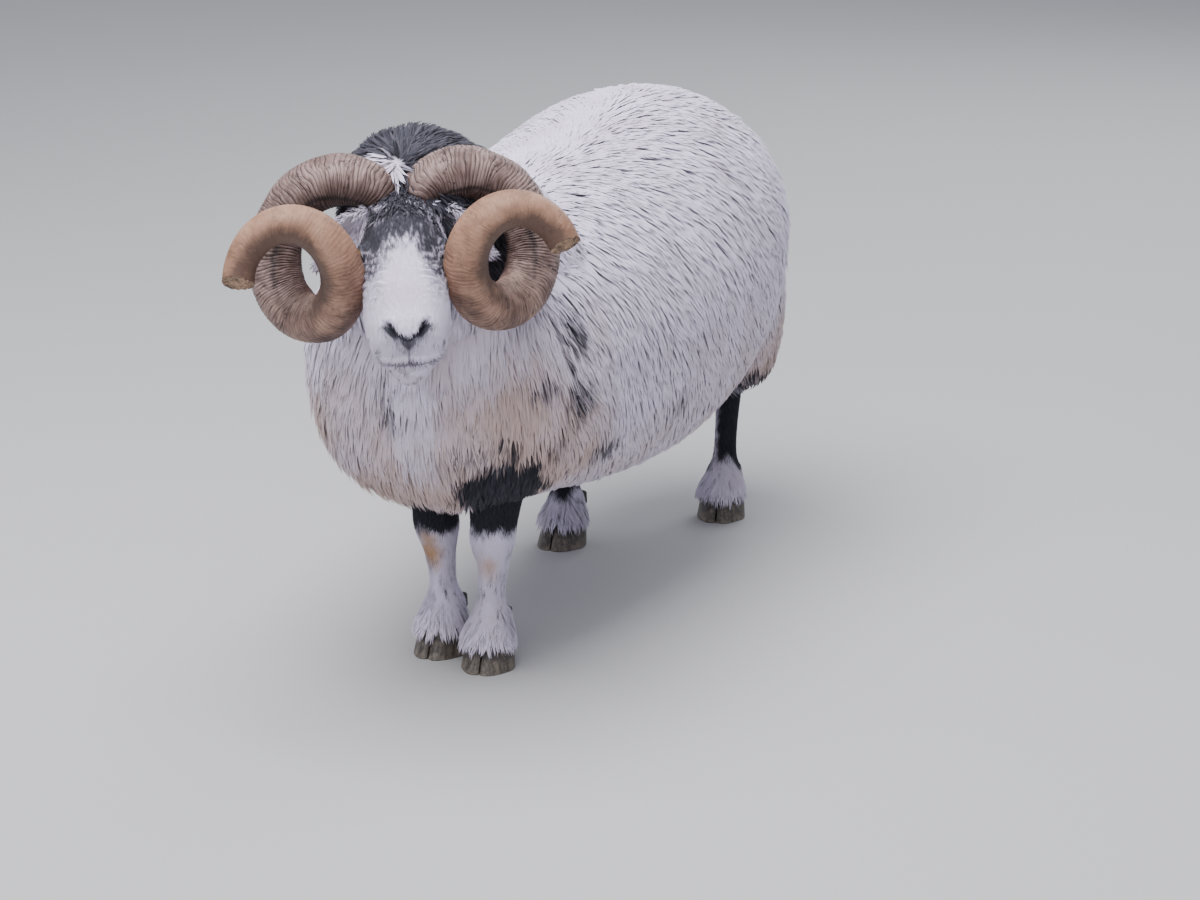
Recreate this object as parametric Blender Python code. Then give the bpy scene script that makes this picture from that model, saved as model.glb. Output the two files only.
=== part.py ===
"""A Scottish Blackface ram, standing with its head turned, as a still life-size model.

Metres, +Z up. The soles are on z = 0, the body lies along Y with the chest towards -Y, and the
animal's left is +X. The head has a frame of its own: origin at the poll between the horns,
-Y along the face, +X to the animal's left, +Z up through the crown.
"""
import math

import bmesh
import bpy
import numpy as np
from mathutils import Matrix, Vector
from mathutils.bvhtree import BVHTree

# Clearances
GAP = 0.0003
MERGE = 0.000002
THINNEST = 0.006

# The floor point under the middle of the whole ram, taken as the origin in the end
STAND_POINT = (0.011, -0.106, 0.0)

# Trunk: how far along the body, lowest and highest fleece there, and half its width
TRUNK_STATIONS = (
    (-0.515, 0.390, 0.480, 0.050),
    (-0.492, 0.302, 0.556, 0.118),
    (-0.428, 0.236, 0.612, 0.180),
    (-0.300, 0.212, 0.612, 0.206),
    (-0.120, 0.184, 0.622, 0.223),
    (0.080, 0.172, 0.643, 0.233),
    (0.260, 0.200, 0.662, 0.226),
    (0.390, 0.254, 0.648, 0.200),
    (0.465, 0.320, 0.604, 0.152),
    (0.505, 0.400, 0.525, 0.070),
)
BACK_SQUARENESS = 1.98
BELLY_SQUARENESS = 2.5
TRUNK_SIDES = 32
TRUNK_RINGS = 30

# Breech wool down each hind leg: centre, half width, half length
BREECH = {
    "left": (
        (0.100, 0.315, 0.540, 0.040, 0.060),
        (0.104, 0.330, 0.465, 0.086, 0.132),
        (0.108, 0.378, 0.370, 0.086, 0.118),
        (0.110, 0.420, 0.285, 0.070, 0.088),
        (0.108, 0.438, 0.230, 0.052, 0.062),
        (0.104, 0.440, 0.205, 0.028, 0.036),
    ),
    "right": (
        (-0.100, 0.300, 0.540, 0.040, 0.060),
        (-0.108, 0.300, 0.465, 0.090, 0.135),
        (-0.108, 0.284, 0.370, 0.090, 0.126),
        (-0.088, 0.236, 0.285, 0.060, 0.082),
        (-0.078, 0.216, 0.240, 0.042, 0.056),
        (-0.075, 0.212, 0.222, 0.024, 0.034),
    ),
}

# Neck: centre, half width and half depth across the path
NECK_STATIONS = (
    (0.000, -0.250, 0.435, 0.172, 0.140),
    (0.000, -0.350, 0.510, 0.158, 0.160),
    (0.000, -0.455, 0.590, 0.118, 0.136),
    (0.000, -0.520, 0.622, 0.092, 0.104),
    (0.002, -0.560, 0.632, 0.062, 0.066),
)
NAPE_CREST = ((-0.014, -0.452, 0.652), (0.094, 0.085, 0.076))
PARTING_POINT = (0.0, -0.415, 0.560)
PARTING_NORMAL = (0.0, -0.770, 0.640)
PARTING_BOX = 0.7

# Fleece: how deep the core lies under the tips of the wool, and how proud of the form they stand
CORE_DEPTH = 0.026
TIP_RISE = 0.006
FLEECE_SEED = 11
SPREAD_SAMPLES = 4000
SPREAD_ROUNDS = 8
ON_SURFACE = 0.0015
# Patch of fleece: how many clumps or locks, and their size
FLEECE_PATCHES = {"body": (86, 1.03), "ruff": (13, 0.88), "chest": (36, 1.02)}
FLEECE_THINNING = 0.36
CLUMP_SIZES = (0.078, 0.068, 0.038)
CLUMP_VARIATION = 0.10
CLUMP_SIDES = 7
CLUMP_ROWS = 4
# Wool hangs in locks where it lies this far forward and faces this much forwards and upwards
LOCK_FRONT = -0.400
LOCK_FACING = -0.45
LOCK_FACING_UP = 0.35
LOCK_LENGTH = 0.125
LOCK_WIDTH = 0.028
LOCK_THICKNESS = 0.0085
# Lock: depth under the tips and share of the full width, from root to tip
LOCK_STATIONS = (
    (-0.030, 0.80),
    (-0.014, 1.00),
    (-0.007, 0.92),
    (-0.005, 0.66),
    (-0.003, 0.18),
)
LIE = (0.0, 0.35, -1.0)

# Head pose in the body's frame
HEAD_PLACE = (0.009, -0.559, 0.666)
HEAD_YAW = math.radians(25.4)
HEAD_PITCH = math.radians(23.0)
HEAD_ROLL = math.radians(-3.7)

# Head, in its own frame: along the face, top, bottom, half width at the eyes and at the jaw
HEAD_STATIONS = (
    (0.062, -0.050, -0.090, 0.020, 0.016),
    (0.050, -0.020, -0.112, 0.040, 0.030),
    (0.015, -0.002, -0.128, 0.052, 0.038),
    (-0.030, 0.004, -0.138, 0.053, 0.040),
    (-0.075, 0.004, -0.142, 0.054, 0.040),
    (-0.110, -0.001, -0.140, 0.056, 0.038),
    (-0.150, -0.009, -0.136, 0.057, 0.037),
    (-0.190, -0.017, -0.131, 0.055, 0.034),
    (-0.220, -0.025, -0.126, 0.050, 0.024),
    (-0.238, -0.034, -0.117, 0.042, 0.020),
    (-0.247, -0.048, -0.100, 0.023, 0.013),
)
HEAD_SQUARENESS = 2.3
HEAD_JAW_START = 0.35
HEAD_SIDES = 24
HEAD_RINGS = 26

EYE_CENTRE = (0.0415, -0.082, -0.034)
EYE_RADIUS = 0.0150
LID_RADIUS = 0.0152
LID_THICKNESS = 0.0042
LID_OUTWARD = (0.93, -0.30, 0.22)
LID_FORWARD = 0.42
LID_NARROWING = 0.72
NOSTRIL_CENTRE = (0.0235, -0.2435, -0.038)
NOSTRIL_SIZE = (0.0100, 0.0085, 0.0044)
NOSTRIL_SLANT = math.radians(28)
MOUTH_HEIGHT = -0.077
MOUTH_FRONT = -0.2455
MOUTH_REACH = 0.040
MOUTH_DEPTH = 0.005
MOUTH_OPENING = 0.0016
MOUTH_OVERRUN = 0.020
MOUTH_CURVE = 0.052
MOUTH_DROOP = 0.010
MOUTH_WEDGE_LENGTH = 0.050
# Philtrum: half width, depth and height of the groove, its top, and the face of the lip there
PHILTRUM = (0.0012, 0.006, 0.026)
PHILTRUM_TOP = -0.052
PHILTRUM_FACE = -0.2475
PHILTRUM_OUTSIDE = -0.270

# Horn coil in the head's frame: axis, start, turns, and how it tightens and advances a turn
HORN_CENTRE = (0.074, 0.009, -0.076)
HORN_AXIS_OUT = math.radians(26.6)
HORN_AXIS_UP = math.radians(19.3)
HORN_COIL_RADIUS = 0.0875
HORN_COIL_FLATTENING = 0.847
HORN_TIGHTENING = 0.245
HORN_ADVANCE = 0.165
HORN_ADVANCE_SLOWING = 0.017
HORN_START = math.radians(-35.0)
HORN_TURNS = {1: 1.33, -1: 1.38}
HORN_ROOT = (0.018, 0.008, -0.040, 0.012)
# Horn tube: turns from the root and radius there
HORN_TUBE = (
    (0.0, 0.0265),
    (0.08, 0.0330),
    (0.45, 0.0335),
    (0.75, 0.0290),
    (1.0, 0.0258),
    (1.33, 0.0200),
)
HORN_SIDES = 12
HORN_RINGS = 30

# Ear: root, direction and half widths along its length, in the head's frame
EAR_ROOT = (0.044, -0.020, -0.031)
EAR_DIRECTION = (0.80, -0.28, -0.52)
EAR_FACING = (0.30, -0.93, 0.05)
EAR_LENGTH = 0.079
EAR_HALF_WIDTH = 0.027
EAR_CUP = 0.012
EAR_THICKNESS = 0.0045
# Ear along its length: where it starts inside the head, where it is widest, and its narrowest share
EAR_START = -0.22
EAR_WIDEST = 0.35
EAR_ROOT_WIDTH = 0.50
EAR_TIP_WIDTH = 0.07
EAR_RIM = 0.82
EAR_RINGS = 12
EAR_SIDES = 7

# Feet on the floor, and how far each toes out
FEET = {
    "fore_left": (0.045, -0.367, math.radians(4)),
    "fore_right": (-0.038, -0.330, math.radians(-4)),
    "hind_left": (0.093, 0.422, math.radians(6)),
    "hind_right": (-0.073, 0.199, math.radians(-6)),
}
# Leg: height, offset inwards-outwards and back from the foot, half width and half length
FORE_LEG = (
    (0.350, 0.010, 0.020, 0.050, 0.062),
    (0.290, 0.010, 0.012, 0.046, 0.056),
    (0.238, 0.009, 0.004, 0.037, 0.043),
    (0.200, 0.008, -0.002, 0.0315, 0.035),
    (0.172, 0.006, -0.003, 0.0300, 0.032),
    (0.135, 0.004, 0.003, 0.0210, 0.025),
    (0.095, 0.001, 0.005, 0.0180, 0.023),
    (0.070, 0.000, 0.006, 0.0270, 0.030),
    (0.052, 0.000, 0.000, 0.0325, 0.033),
    (0.0383, 0.000, -0.004, 0.0355, 0.036),
)
HIND_LEG = (
    (0.400, 0.010, -0.030, 0.055, 0.075),
    (0.310, 0.008, -0.012, 0.040, 0.055),
    (0.255, 0.004, 0.014, 0.025, 0.036),
    (0.220, 0.002, 0.026, 0.0225, 0.033),
    (0.190, 0.001, 0.022, 0.0190, 0.026),
    (0.130, 0.000, 0.014, 0.0165, 0.021),
    (0.092, 0.000, 0.009, 0.0180, 0.022),
    (0.070, 0.000, 0.007, 0.0260, 0.029),
    (0.052, 0.000, 0.000, 0.0320, 0.033),
    (0.0383, 0.000, -0.004, 0.0350, 0.036),
)
LEG_SIDES = 12
LEG_RINGS = 18

# Claw: sole length and width, height, how far the wall slopes back, and the cleft between two
CLAW_LENGTH = 0.074
CLAW_WIDTH = 0.035
CLAW_HEIGHT = 0.038
CLAW_SLOPE = 0.012
CLAW_TOP_SCALE = 0.86
CLEFT = 0.0024
# Claw outline: how straight the side at the cleft is, and how much the toe narrows
CLAW_FLATNESS = 0.35
TOE_NARROWING = 0.25
CLAW_SIDES = 12
DEWCLAW_RADIUS = 0.0075
DEWCLAW_LENGTH = 0.020
DEWCLAW_SPREAD = 0.0145
DEWCLAW_BACK = 0.0325
DEWCLAW_HEIGHT = 0.062
DEWCLAW_TIP_SHARE = 0.55
DEWCLAW_LEAN = math.radians(28)

# Tail: centre, half width and half thickness
TAIL_STATIONS = (
    (0.000, 0.462, 0.585, 0.028, 0.022),
    (0.000, 0.500, 0.555, 0.036, 0.028),
    (0.000, 0.522, 0.490, 0.042, 0.030),
    (0.000, 0.516, 0.410, 0.042, 0.030),
    (0.000, 0.496, 0.330, 0.034, 0.024),
    (0.000, 0.486, 0.285, 0.012, 0.010),
)
TAIL_SIDES = 12
TAIL_RINGS = 10
TAIL_CORE_DEPTH = 0.010
TAIL_LOCKS = 13
TAIL_THINNING = 0.35
TAIL_LOCK_SIZE = 0.68
TAIL_LOCK_HEIGHTS = (0.335, 0.530)

# Finishes: base colour and roughness
FINISHES = {
    "fleece": ((0.72, 0.66, 0.62), 0.95),
    "black_wool": ((0.022, 0.022, 0.030), 0.90),
    "face_hair": ((0.50, 0.49, 0.52), 0.85),
    "leg_hair": ((0.52, 0.48, 0.47), 0.88),
    "ear_skin": ((0.62, 0.55, 0.54), 0.80),
    "horn": ((0.27, 0.17, 0.105), 0.55),
    "eye": ((0.20, 0.11, 0.035), 0.12),
    "hoof": ((0.10, 0.085, 0.075), 0.50),
}


def clear_scene():
    """Remove everything that the scene starts with."""
    for obj in list(bpy.data.objects):
        bpy.data.objects.remove(obj, do_unlink=True)


def finish(name):
    """One material for one node, from the table of finishes."""
    colour, roughness = FINISHES[name]
    material = bpy.data.materials.new(name)
    material.use_nodes = True
    shader = material.node_tree.nodes["Principled BSDF"]
    shader.inputs["Base Color"].default_value = (*colour, 1.0)
    shader.inputs["Roughness"].default_value = roughness
    shader.inputs["Metallic"].default_value = 0.0
    return material


def smoothed(stations, count):
    """Rows along a smooth curve through the stations, evenly spread by distance."""
    rows = np.array(stations, float)
    ends = np.vstack([2 * rows[0] - rows[1], rows, 2 * rows[-1] - rows[-2]])
    fine = []
    for a, b, c, d in zip(ends, ends[1:], ends[2:], ends[3:]):
        for t in np.linspace(0, 1, 16, endpoint=False):
            bend = (2 * a - 5 * b + 4 * c - d) * t**2 + (3 * b - a - 3 * c + d) * t**3
            fine.append(0.5 * (2 * b + (c - a) * t + bend))
    fine.append(rows[-1])
    fine = np.array(fine)
    steps = np.linalg.norm(np.diff(fine, axis=0), axis=1)
    along = np.concatenate([[0], np.cumsum(steps)])
    wanted = np.linspace(0, along[-1], count)
    return np.array([[np.interp(w, along, column) for column in fine.T] for w in wanted])


def signed_power(value, power):
    """A power that keeps the sign, for the squared-off ovals."""
    return np.sign(value) * np.abs(value) ** power


def oval(sides, squareness=2.0):
    """Unit points round an oval, counter-clockwise from +across."""
    turn = np.arange(sides) * 2 * math.pi / sides
    return signed_power(np.cos(turn), 2 / squareness), signed_power(np.sin(turn), 2 / squareness)


def trunk_rings(inset):
    """Upright rings from the chest to the rump."""
    across, up = oval(TRUNK_SIDES, BACK_SQUARENESS)
    lower = oval(TRUNK_SIDES, BELLY_SQUARENESS)
    across, up = (np.where(up < 0, low, high) for low, high in zip(lower, (across, up)))
    rings = []
    for y, low, high, half in smoothed(TRUNK_STATIONS, TRUNK_RINGS):
        middle = (low + high) / 2
        tall = max((high - low) / 2 - inset, THINNEST)
        wide = max(half - inset, THINNEST)
        rings.append(np.column_stack([across * wide, np.full(TRUNK_SIDES, y), middle + up * tall]))
    return rings


def level_rings(stations, sides, count, inset=0.0):
    """Level rings down a path: centre, half width, half length."""
    across, along = oval(sides)
    rings = []
    for x, y, z, wide, long in smoothed(stations, count):
        wide = max(wide - inset, THINNEST)
        long = max(long - inset, THINNEST)
        rings.append(np.column_stack([x + across * wide, y + along * long, np.full(sides, z)]))
    return rings


def path_rings(stations, sides, count, inset=0.0):
    """Rings square to a path that stays near the middle plane."""
    rows = smoothed(stations, count)
    tangents = np.gradient(rows[:, :3], axis=0)
    across, up = oval(sides)
    rings = []
    for (x, y, z, wide, tall), tangent in zip(rows, tangents):
        tangent = tangent / np.linalg.norm(tangent)
        side = np.array([1.0, 0.0, 0.0])
        side -= tangent * side.dot(tangent)
        side /= np.linalg.norm(side)
        top = np.cross(side, tangent)
        centre = np.array([x, y, z])
        wide = max(wide - inset, THINNEST)
        tall = max(tall - inset, THINNEST)
        rings.append(centre + np.outer(across * wide, side) + np.outer(up * tall, top))
    return rings


def loft(name, rings, collection, material=None):
    """A closed skin over rings of equal count, with a fan on each end."""
    mesh = bmesh.new()
    rows = [[mesh.verts.new(point) for point in ring] for ring in rings]
    count = len(rows[0])
    for one, two in zip(rows, rows[1:]):
        for i in range(count):
            j = (i + 1) % count
            mesh.faces.new((one[i], one[j], two[j], two[i]))
    for row in (rows[0], rows[-1]):
        centre = mesh.verts.new(sum((v.co for v in row), Vector()) / count)
        for i in range(count):
            mesh.faces.new((row[i], row[(i + 1) % count], centre))
    bmesh.ops.recalc_face_normals(mesh, faces=mesh.faces)
    return finished(name, mesh, collection, material)


def finished(name, mesh, collection, material=None):
    """Put a bmesh in the scene as an object, in triangles so that a seat cut with a copy fits it."""
    data = bpy.data.meshes.new(name)
    mesh.to_mesh(data)
    mesh.free()
    if material:
        data.materials.append(material)
    obj = bpy.data.objects.new(name, data)
    collection.objects.link(obj)
    in_order(obj)
    in_triangles(obj)
    if signed_volume(obj.data) < 0:
        obj.data.flip_normals()
    obj.data.shade_smooth()
    return obj


def in_triangles(obj):
    """Split every face into triangles."""
    mesh = bmesh.new()
    mesh.from_mesh(obj.data)
    bmesh.ops.triangulate(mesh, faces=mesh.faces)
    mesh.to_mesh(obj.data)
    mesh.free()
    in_order(obj)


def signed_volume(data):
    """Volume within the mesh, negative where its faces point inwards."""
    data.calc_loop_triangles()
    total = 0.0
    for triangle in data.loop_triangles:
        a, b, c = (data.vertices[i].co for i in triangle.vertices)
        total += a.dot(b.cross(c))
    return total / 6


def grown(obj, extra, collection):
    """A copy of the object, larger all round by the gap, for cutting its seat."""
    data = obj.data.copy()
    shifts = [vertex.normal * extra for vertex in data.vertices]
    for vertex, shift in zip(data.vertices, shifts):
        vertex.co += shift
    copy = bpy.data.objects.new(obj.name + "_seat", data)
    copy.matrix_world = obj.matrix_world
    collection.objects.link(copy)
    return copy


def combine(obj, others, operation, solver="EXACT"):
    """One Boolean of the object with a collection of others, applied. The others are removed."""
    tools = bpy.data.collections.new("tools")
    bpy.context.scene.collection.children.link(tools)
    for other in others:
        for holder in list(other.users_collection):
            holder.objects.unlink(other)
        other.hide_render = True
        other.display_type = "WIRE"
        tools.objects.link(other)
    boolean = obj.modifiers.new(operation.lower(), "BOOLEAN")
    boolean.operation = operation
    boolean.operand_type = "COLLECTION"
    boolean.collection = tools
    boolean.solver = solver
    bpy.context.view_layer.update()
    graph = bpy.context.evaluated_depsgraph_get()
    result = bpy.data.meshes.new_from_object(obj.evaluated_get(graph))
    obj.modifiers.clear()
    obj.data = result
    for other in others:
        bpy.data.objects.remove(other, do_unlink=True)
    bpy.data.collections.remove(tools)


def in_order(obj):
    """Sort the mesh's points and faces, because a Boolean gives them in any order."""
    data = obj.data
    points = np.array([vertex.co for vertex in data.vertices])
    order = np.lexsort(points.T)
    rank = np.empty(len(order), int)
    rank[order] = np.arange(len(order))
    faces = []
    for polygon in data.polygons:
        face = [int(rank[i]) for i in polygon.vertices]
        first = face.index(min(face))
        faces.append(face[first:] + face[:first])
    materials = list(data.materials)
    obj.data = bpy.data.meshes.new(obj.name)
    obj.data.from_pydata([tuple(points[i]) for i in order], [], sorted(faces))
    for material in materials:
        obj.data.materials.append(material)


def keep_largest(obj):
    """Keep the largest closed surface and drop scraps and sealed hollows."""
    in_order(obj)
    mesh = bmesh.new()
    mesh.from_mesh(obj.data)
    bmesh.ops.remove_doubles(mesh, verts=mesh.verts, dist=MERGE)
    bmesh.ops.triangulate(mesh, faces=mesh.faces)
    unseen = set(mesh.verts)
    groups = []
    while unseen:
        start = unseen.pop()
        group = [start]
        for vertex in group:
            for edge in vertex.link_edges:
                other = edge.other_vert(vertex)
                if other in unseen:
                    unseen.remove(other)
                    group.append(other)
        groups.append(group)
    groups.sort(key=len, reverse=True)
    bmesh.ops.delete(mesh, geom=[v for group in groups[1:] for v in group], context="VERTS")
    mesh.to_mesh(obj.data)
    mesh.free()
    in_order(obj)
    obj.data.shade_smooth()


def head_matrix():
    """From the head's own frame to the body's."""
    turn = Matrix.Rotation(HEAD_YAW, 4, "Z") @ Matrix.Rotation(HEAD_PITCH, 4, "X")
    return Matrix.Translation(HEAD_PLACE) @ turn @ Matrix.Rotation(HEAD_ROLL, 4, "Y")


def on_head(points):
    """Points of the head's frame in the body's."""
    turn = np.array(head_matrix())
    return np.asarray(points) @ turn[:3, :3].T + turn[:3, 3]


def half_space(name, point, normal, collection):
    """A large box on the far side of a plane, shifted off it by half the gap."""
    normal = Vector(normal).normalized()
    mesh = bmesh.new()
    bmesh.ops.create_cube(mesh, size=2 * PARTING_BOX)
    place = Vector(point) + normal * (PARTING_BOX - GAP / 2)
    turn = normal.to_track_quat("Z", "Y").to_matrix().to_4x4()
    bmesh.ops.transform(mesh, matrix=Matrix.Translation(place) @ turn, verts=mesh.verts)
    return finished(name, mesh, collection)


def fleece_pieces(inset, collection):
    """Trunk, neck, breech and nape, this far inside the tips of the wool."""
    pieces = [loft("trunk_form", trunk_rings(inset), collection)]
    pieces.append(loft("neck_form", path_rings(NECK_STATIONS, 24, 14, inset), collection))
    for side, stations in BREECH.items():
        pieces.append(loft("breech_" + side, level_rings(stations, 20, 12, inset), collection))
    mesh = bmesh.new()
    bmesh.ops.create_uvsphere(mesh, u_segments=20, v_segments=12, radius=1.0)
    centre, sizes = NAPE_CREST
    place = Matrix.Translation(centre) @ Matrix.Diagonal((*(size - inset for size in sizes), 1.0))
    bmesh.ops.transform(mesh, matrix=place, verts=mesh.verts)
    pieces.append(finished("nape_form", mesh, collection))
    return pieces


def surface_samples(objects, random):
    """Random points on the objects' surfaces, as many on each part as its area asks."""
    corners = []
    for obj in objects:
        obj.data.calc_loop_triangles()
        for face in obj.data.loop_triangles:
            corners.append([obj.data.vertices[i].co for i in face.vertices])
    corners = np.array(corners)
    sides = corners[:, 1:] - corners[:, :1]
    areas = np.linalg.norm(np.cross(sides[:, 0], sides[:, 1]), axis=1)
    picks = random.choice(len(corners), SPREAD_SAMPLES, p=areas / areas.sum())
    mix = random.dirichlet((1, 1, 1), SPREAD_SAMPLES)
    return np.einsum("nij,ni->nj", corners[picks], mix)


def spread_evenly(samples, count):
    """So many points among the samples, moved apart until they are evenly spaced."""
    chosen = samples[:count].copy()
    for _ in range(SPREAD_ROUNDS):
        nearest = np.linalg.norm(samples[:, None] - chosen[None], axis=2).argmin(axis=1)
        for index in range(count):
            if (nearest == index).any():
                chosen[index] = samples[nearest == index].mean(axis=0)
    return chosen


def lie_at(normal):
    """Direction along the surface in which the wool hangs."""
    lie = Vector(LIE) - normal * Vector(LIE).dot(normal)
    return lie.normalized()


def patch_at(point, normal):
    """The patch of the fleece that a point belongs to."""
    if point.y < LOCK_FRONT and normal.y < LOCK_FACING and normal.z < LOCK_FACING_UP:
        return "chest"
    ahead = (point - Vector(PARTING_POINT)).dot(Vector(PARTING_NORMAL))
    return "ruff" if ahead > 0 else "body"


def clump(point, normal, size, collection):
    """One rounded clump, its top at the tips of the wool and its root sunk in the core."""
    lie = lie_at(normal)
    turn = Matrix((lie, normal.cross(lie), normal)).transposed().to_4x4()
    along, across, depth = CLUMP_SIZES
    mesh = bmesh.new()
    bmesh.ops.create_uvsphere(mesh, u_segments=CLUMP_SIDES, v_segments=CLUMP_ROWS, radius=1.0)
    place = Matrix.Translation(point + normal * (TIP_RISE - depth)) @ turn
    sizes = Matrix.Diagonal((along * size, across * size, depth, 1.0))
    bmesh.ops.transform(mesh, matrix=place @ sizes, verts=mesh.verts)
    return finished("clump", mesh, collection)


def lock(point, size, tree, collection):
    """One flat lock that tapers as it hangs along the surface, its root sunk in the core."""
    rings = []
    step = LOCK_LENGTH * size / (len(LOCK_STATIONS) - 1)
    for depth, share in LOCK_STATIONS:
        point, normal, _, _ = tree.find_nearest(point)
        lie = lie_at(normal)
        centre = point + normal * (depth + TIP_RISE * share)
        wide = normal.cross(lie) * LOCK_WIDTH * size * share
        thick = normal * LOCK_THICKNESS * size * share
        rings.append([centre + wide, centre + thick, centre - wide, centre - thick])
        point = point + lie * step
    return loft("lock", rings, collection)


def surface_tree(obj):
    """The object's surface, for finding the nearest place on it."""
    data = obj.data
    return BVHTree.FromPolygons([v.co for v in data.vertices], [f.vertices for f in data.polygons])


def fleece_body(collection, scratch):
    """The core with all its clumps and locks, out to the tips of the wool."""
    random = np.random.RandomState(FLEECE_SEED)
    forms = fleece_pieces(0.0, scratch)
    samples = surface_samples(forms, random)
    combine(forms[0], forms[1:], "UNION")
    keep_largest(forms[0])
    tree = surface_tree(forms[0])
    patches = {name: [] for name in FLEECE_PATCHES}
    for sample in samples:
        point, normal, _, away = tree.find_nearest(Vector(sample))
        if away < ON_SURFACE:
            patches[patch_at(point, normal)].append(sample)
    pieces = []
    for name, (count, size) in FLEECE_PATCHES.items():
        for spot in spread_evenly(np.array(patches[name]), count):
            point, normal, _, _ = tree.find_nearest(Vector(spot))
            varied = size * (1 + CLUMP_VARIATION * random.uniform(-1, 1))
            if name == "chest":
                pieces.append(lock(point, varied, tree, scratch))
            else:
                pieces.append(clump(point, normal, varied, scratch))
    bpy.data.objects.remove(forms[0], do_unlink=True)
    core = fleece_pieces(CORE_DEPTH, scratch)
    body = core[0]
    scratch.objects.unlink(body)
    collection.objects.link(body)
    body.name = "torso"
    body.data.materials.append(finish("fleece"))
    combine(body, core[1:] + pieces, "UNION")
    keep_largest(body)
    thin_out(body, FLEECE_THINNING)
    return body


def thin_out(obj, share):
    """Collapse the short edges that a union leaves, down to this share of the faces."""
    decimate = obj.modifiers.new("thinning", "DECIMATE")
    decimate.ratio = share
    decimate.use_collapse_triangulate = True
    bpy.context.view_layer.update()
    graph = bpy.context.evaluated_depsgraph_get()
    obj.data = bpy.data.meshes.new_from_object(obj.evaluated_get(graph))
    obj.modifiers.clear()


def make_tail(collection, scratch):
    """The tail's core with locks round it, all inside its plain form, and that form's seat."""
    form = loft("tail_form", path_rings(TAIL_STATIONS, TAIL_SIDES, TAIL_RINGS), scratch)
    seat = grown(form, GAP, scratch)
    tree = surface_tree(form)
    core = path_rings(TAIL_STATIONS, TAIL_SIDES, TAIL_RINGS, TAIL_CORE_DEPTH)
    tail = loft("tail", core, collection, finish("fleece"))
    random = np.random.RandomState(FLEECE_SEED)
    pieces = []
    for spot in spread_evenly(surface_samples([form], random), TAIL_LOCKS):
        if TAIL_LOCK_HEIGHTS[0] < spot[2] < TAIL_LOCK_HEIGHTS[1]:
            pieces.append(lock(Vector(spot), TAIL_LOCK_SIZE, tree, scratch))
    combine(tail, pieces, "UNION")
    keep_largest(tail)
    thin_out(tail, TAIL_THINNING)
    combine(tail, [form], "INTERSECT", "MANIFOLD")
    keep_largest(tail)
    return seat


def head_rings():
    """Rings down the face, wide at the eyes and narrow at the jaw."""
    across, up = oval(HEAD_SIDES, HEAD_SQUARENESS)
    jaw = (np.clip(HEAD_JAW_START - up, 0, None) / (HEAD_JAW_START + 1)) ** 1.1
    rings = []
    for y, top, low, wide, narrow in smoothed(HEAD_STATIONS, HEAD_RINGS):
        half = wide + (narrow - wide) * jaw
        middle = (top + low) / 2
        tall = (top - low) / 2
        rings.append(on_head(np.column_stack([across * half, np.full(HEAD_SIDES, y), middle + up * tall])))
    return rings


def ball(name, centre, sizes, collection, slant=0.0, segments=16, rings=10):
    """An ellipsoid placed in the head's frame, with its long side slanted outwards."""
    mesh = bmesh.new()
    bmesh.ops.create_uvsphere(mesh, u_segments=segments, v_segments=rings, radius=1.0)
    turn = Matrix.Rotation(slant, 4, "Y")
    place = head_matrix() @ Matrix.Translation(centre) @ turn @ Matrix.Diagonal((*sizes, 1.0))
    bmesh.ops.transform(mesh, matrix=place, verts=mesh.verts)
    return finished(name, mesh, collection)


def lid_ring(side, collection):
    """The rim of the two lids round one eye."""
    bpy.ops.mesh.primitive_torus_add(
        major_segments=18, minor_segments=8, major_radius=LID_RADIUS, minor_radius=LID_THICKNESS
    )
    obj = bpy.context.object
    out, ahead, rise = LID_OUTWARD
    outward = Vector((side * out, ahead, rise)).normalized()
    turn = outward.to_track_quat("Z", "Y").to_matrix().to_4x4()
    x, y, z = EYE_CENTRE
    centre = Vector((side * x, y, z)) + outward * EYE_RADIUS * LID_FORWARD
    flat = Matrix.Diagonal((1.0, LID_NARROWING, 1.0, 1.0))
    obj.data.transform(head_matrix() @ Matrix.Translation(centre) @ turn @ flat)
    for holder in list(obj.users_collection):
        holder.objects.unlink(obj)
    collection.objects.link(obj)
    return obj


def mouth_cutter(collection):
    """A thin wedge that opens the line between the lips, deepest at the front."""
    rows = []
    for t in np.linspace(-1, 1, 9):
        x = t * (MOUTH_REACH + MOUTH_OVERRUN)
        depth = MOUTH_FRONT + MOUTH_CURVE * abs(t) ** 1.6
        droop = MOUTH_HEIGHT - MOUTH_DROOP * t**2
        front = depth - MOUTH_WEDGE_LENGTH
        rows.append([
            (x, depth + MOUTH_DEPTH, droop),
            (x, front, droop + MOUTH_OPENING * 6),
            (x, front, droop - MOUTH_OPENING * 6),
        ])
    return loft("mouth_line", [on_head(row) for row in rows], collection)


def philtrum_cutter(collection):
    """The short groove from the nose down to the upper lip."""
    half, depth, tall = PHILTRUM
    points = []
    for z in (PHILTRUM_TOP, PHILTRUM_TOP - tall):
        inside = (0, PHILTRUM_FACE + depth, z)
        left, right = ((side * half * 3, PHILTRUM_OUTSIDE, z) for side in (1, -1))
        points.append(on_head([inside, left, right]))
    return loft("philtrum", points, collection)


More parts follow.
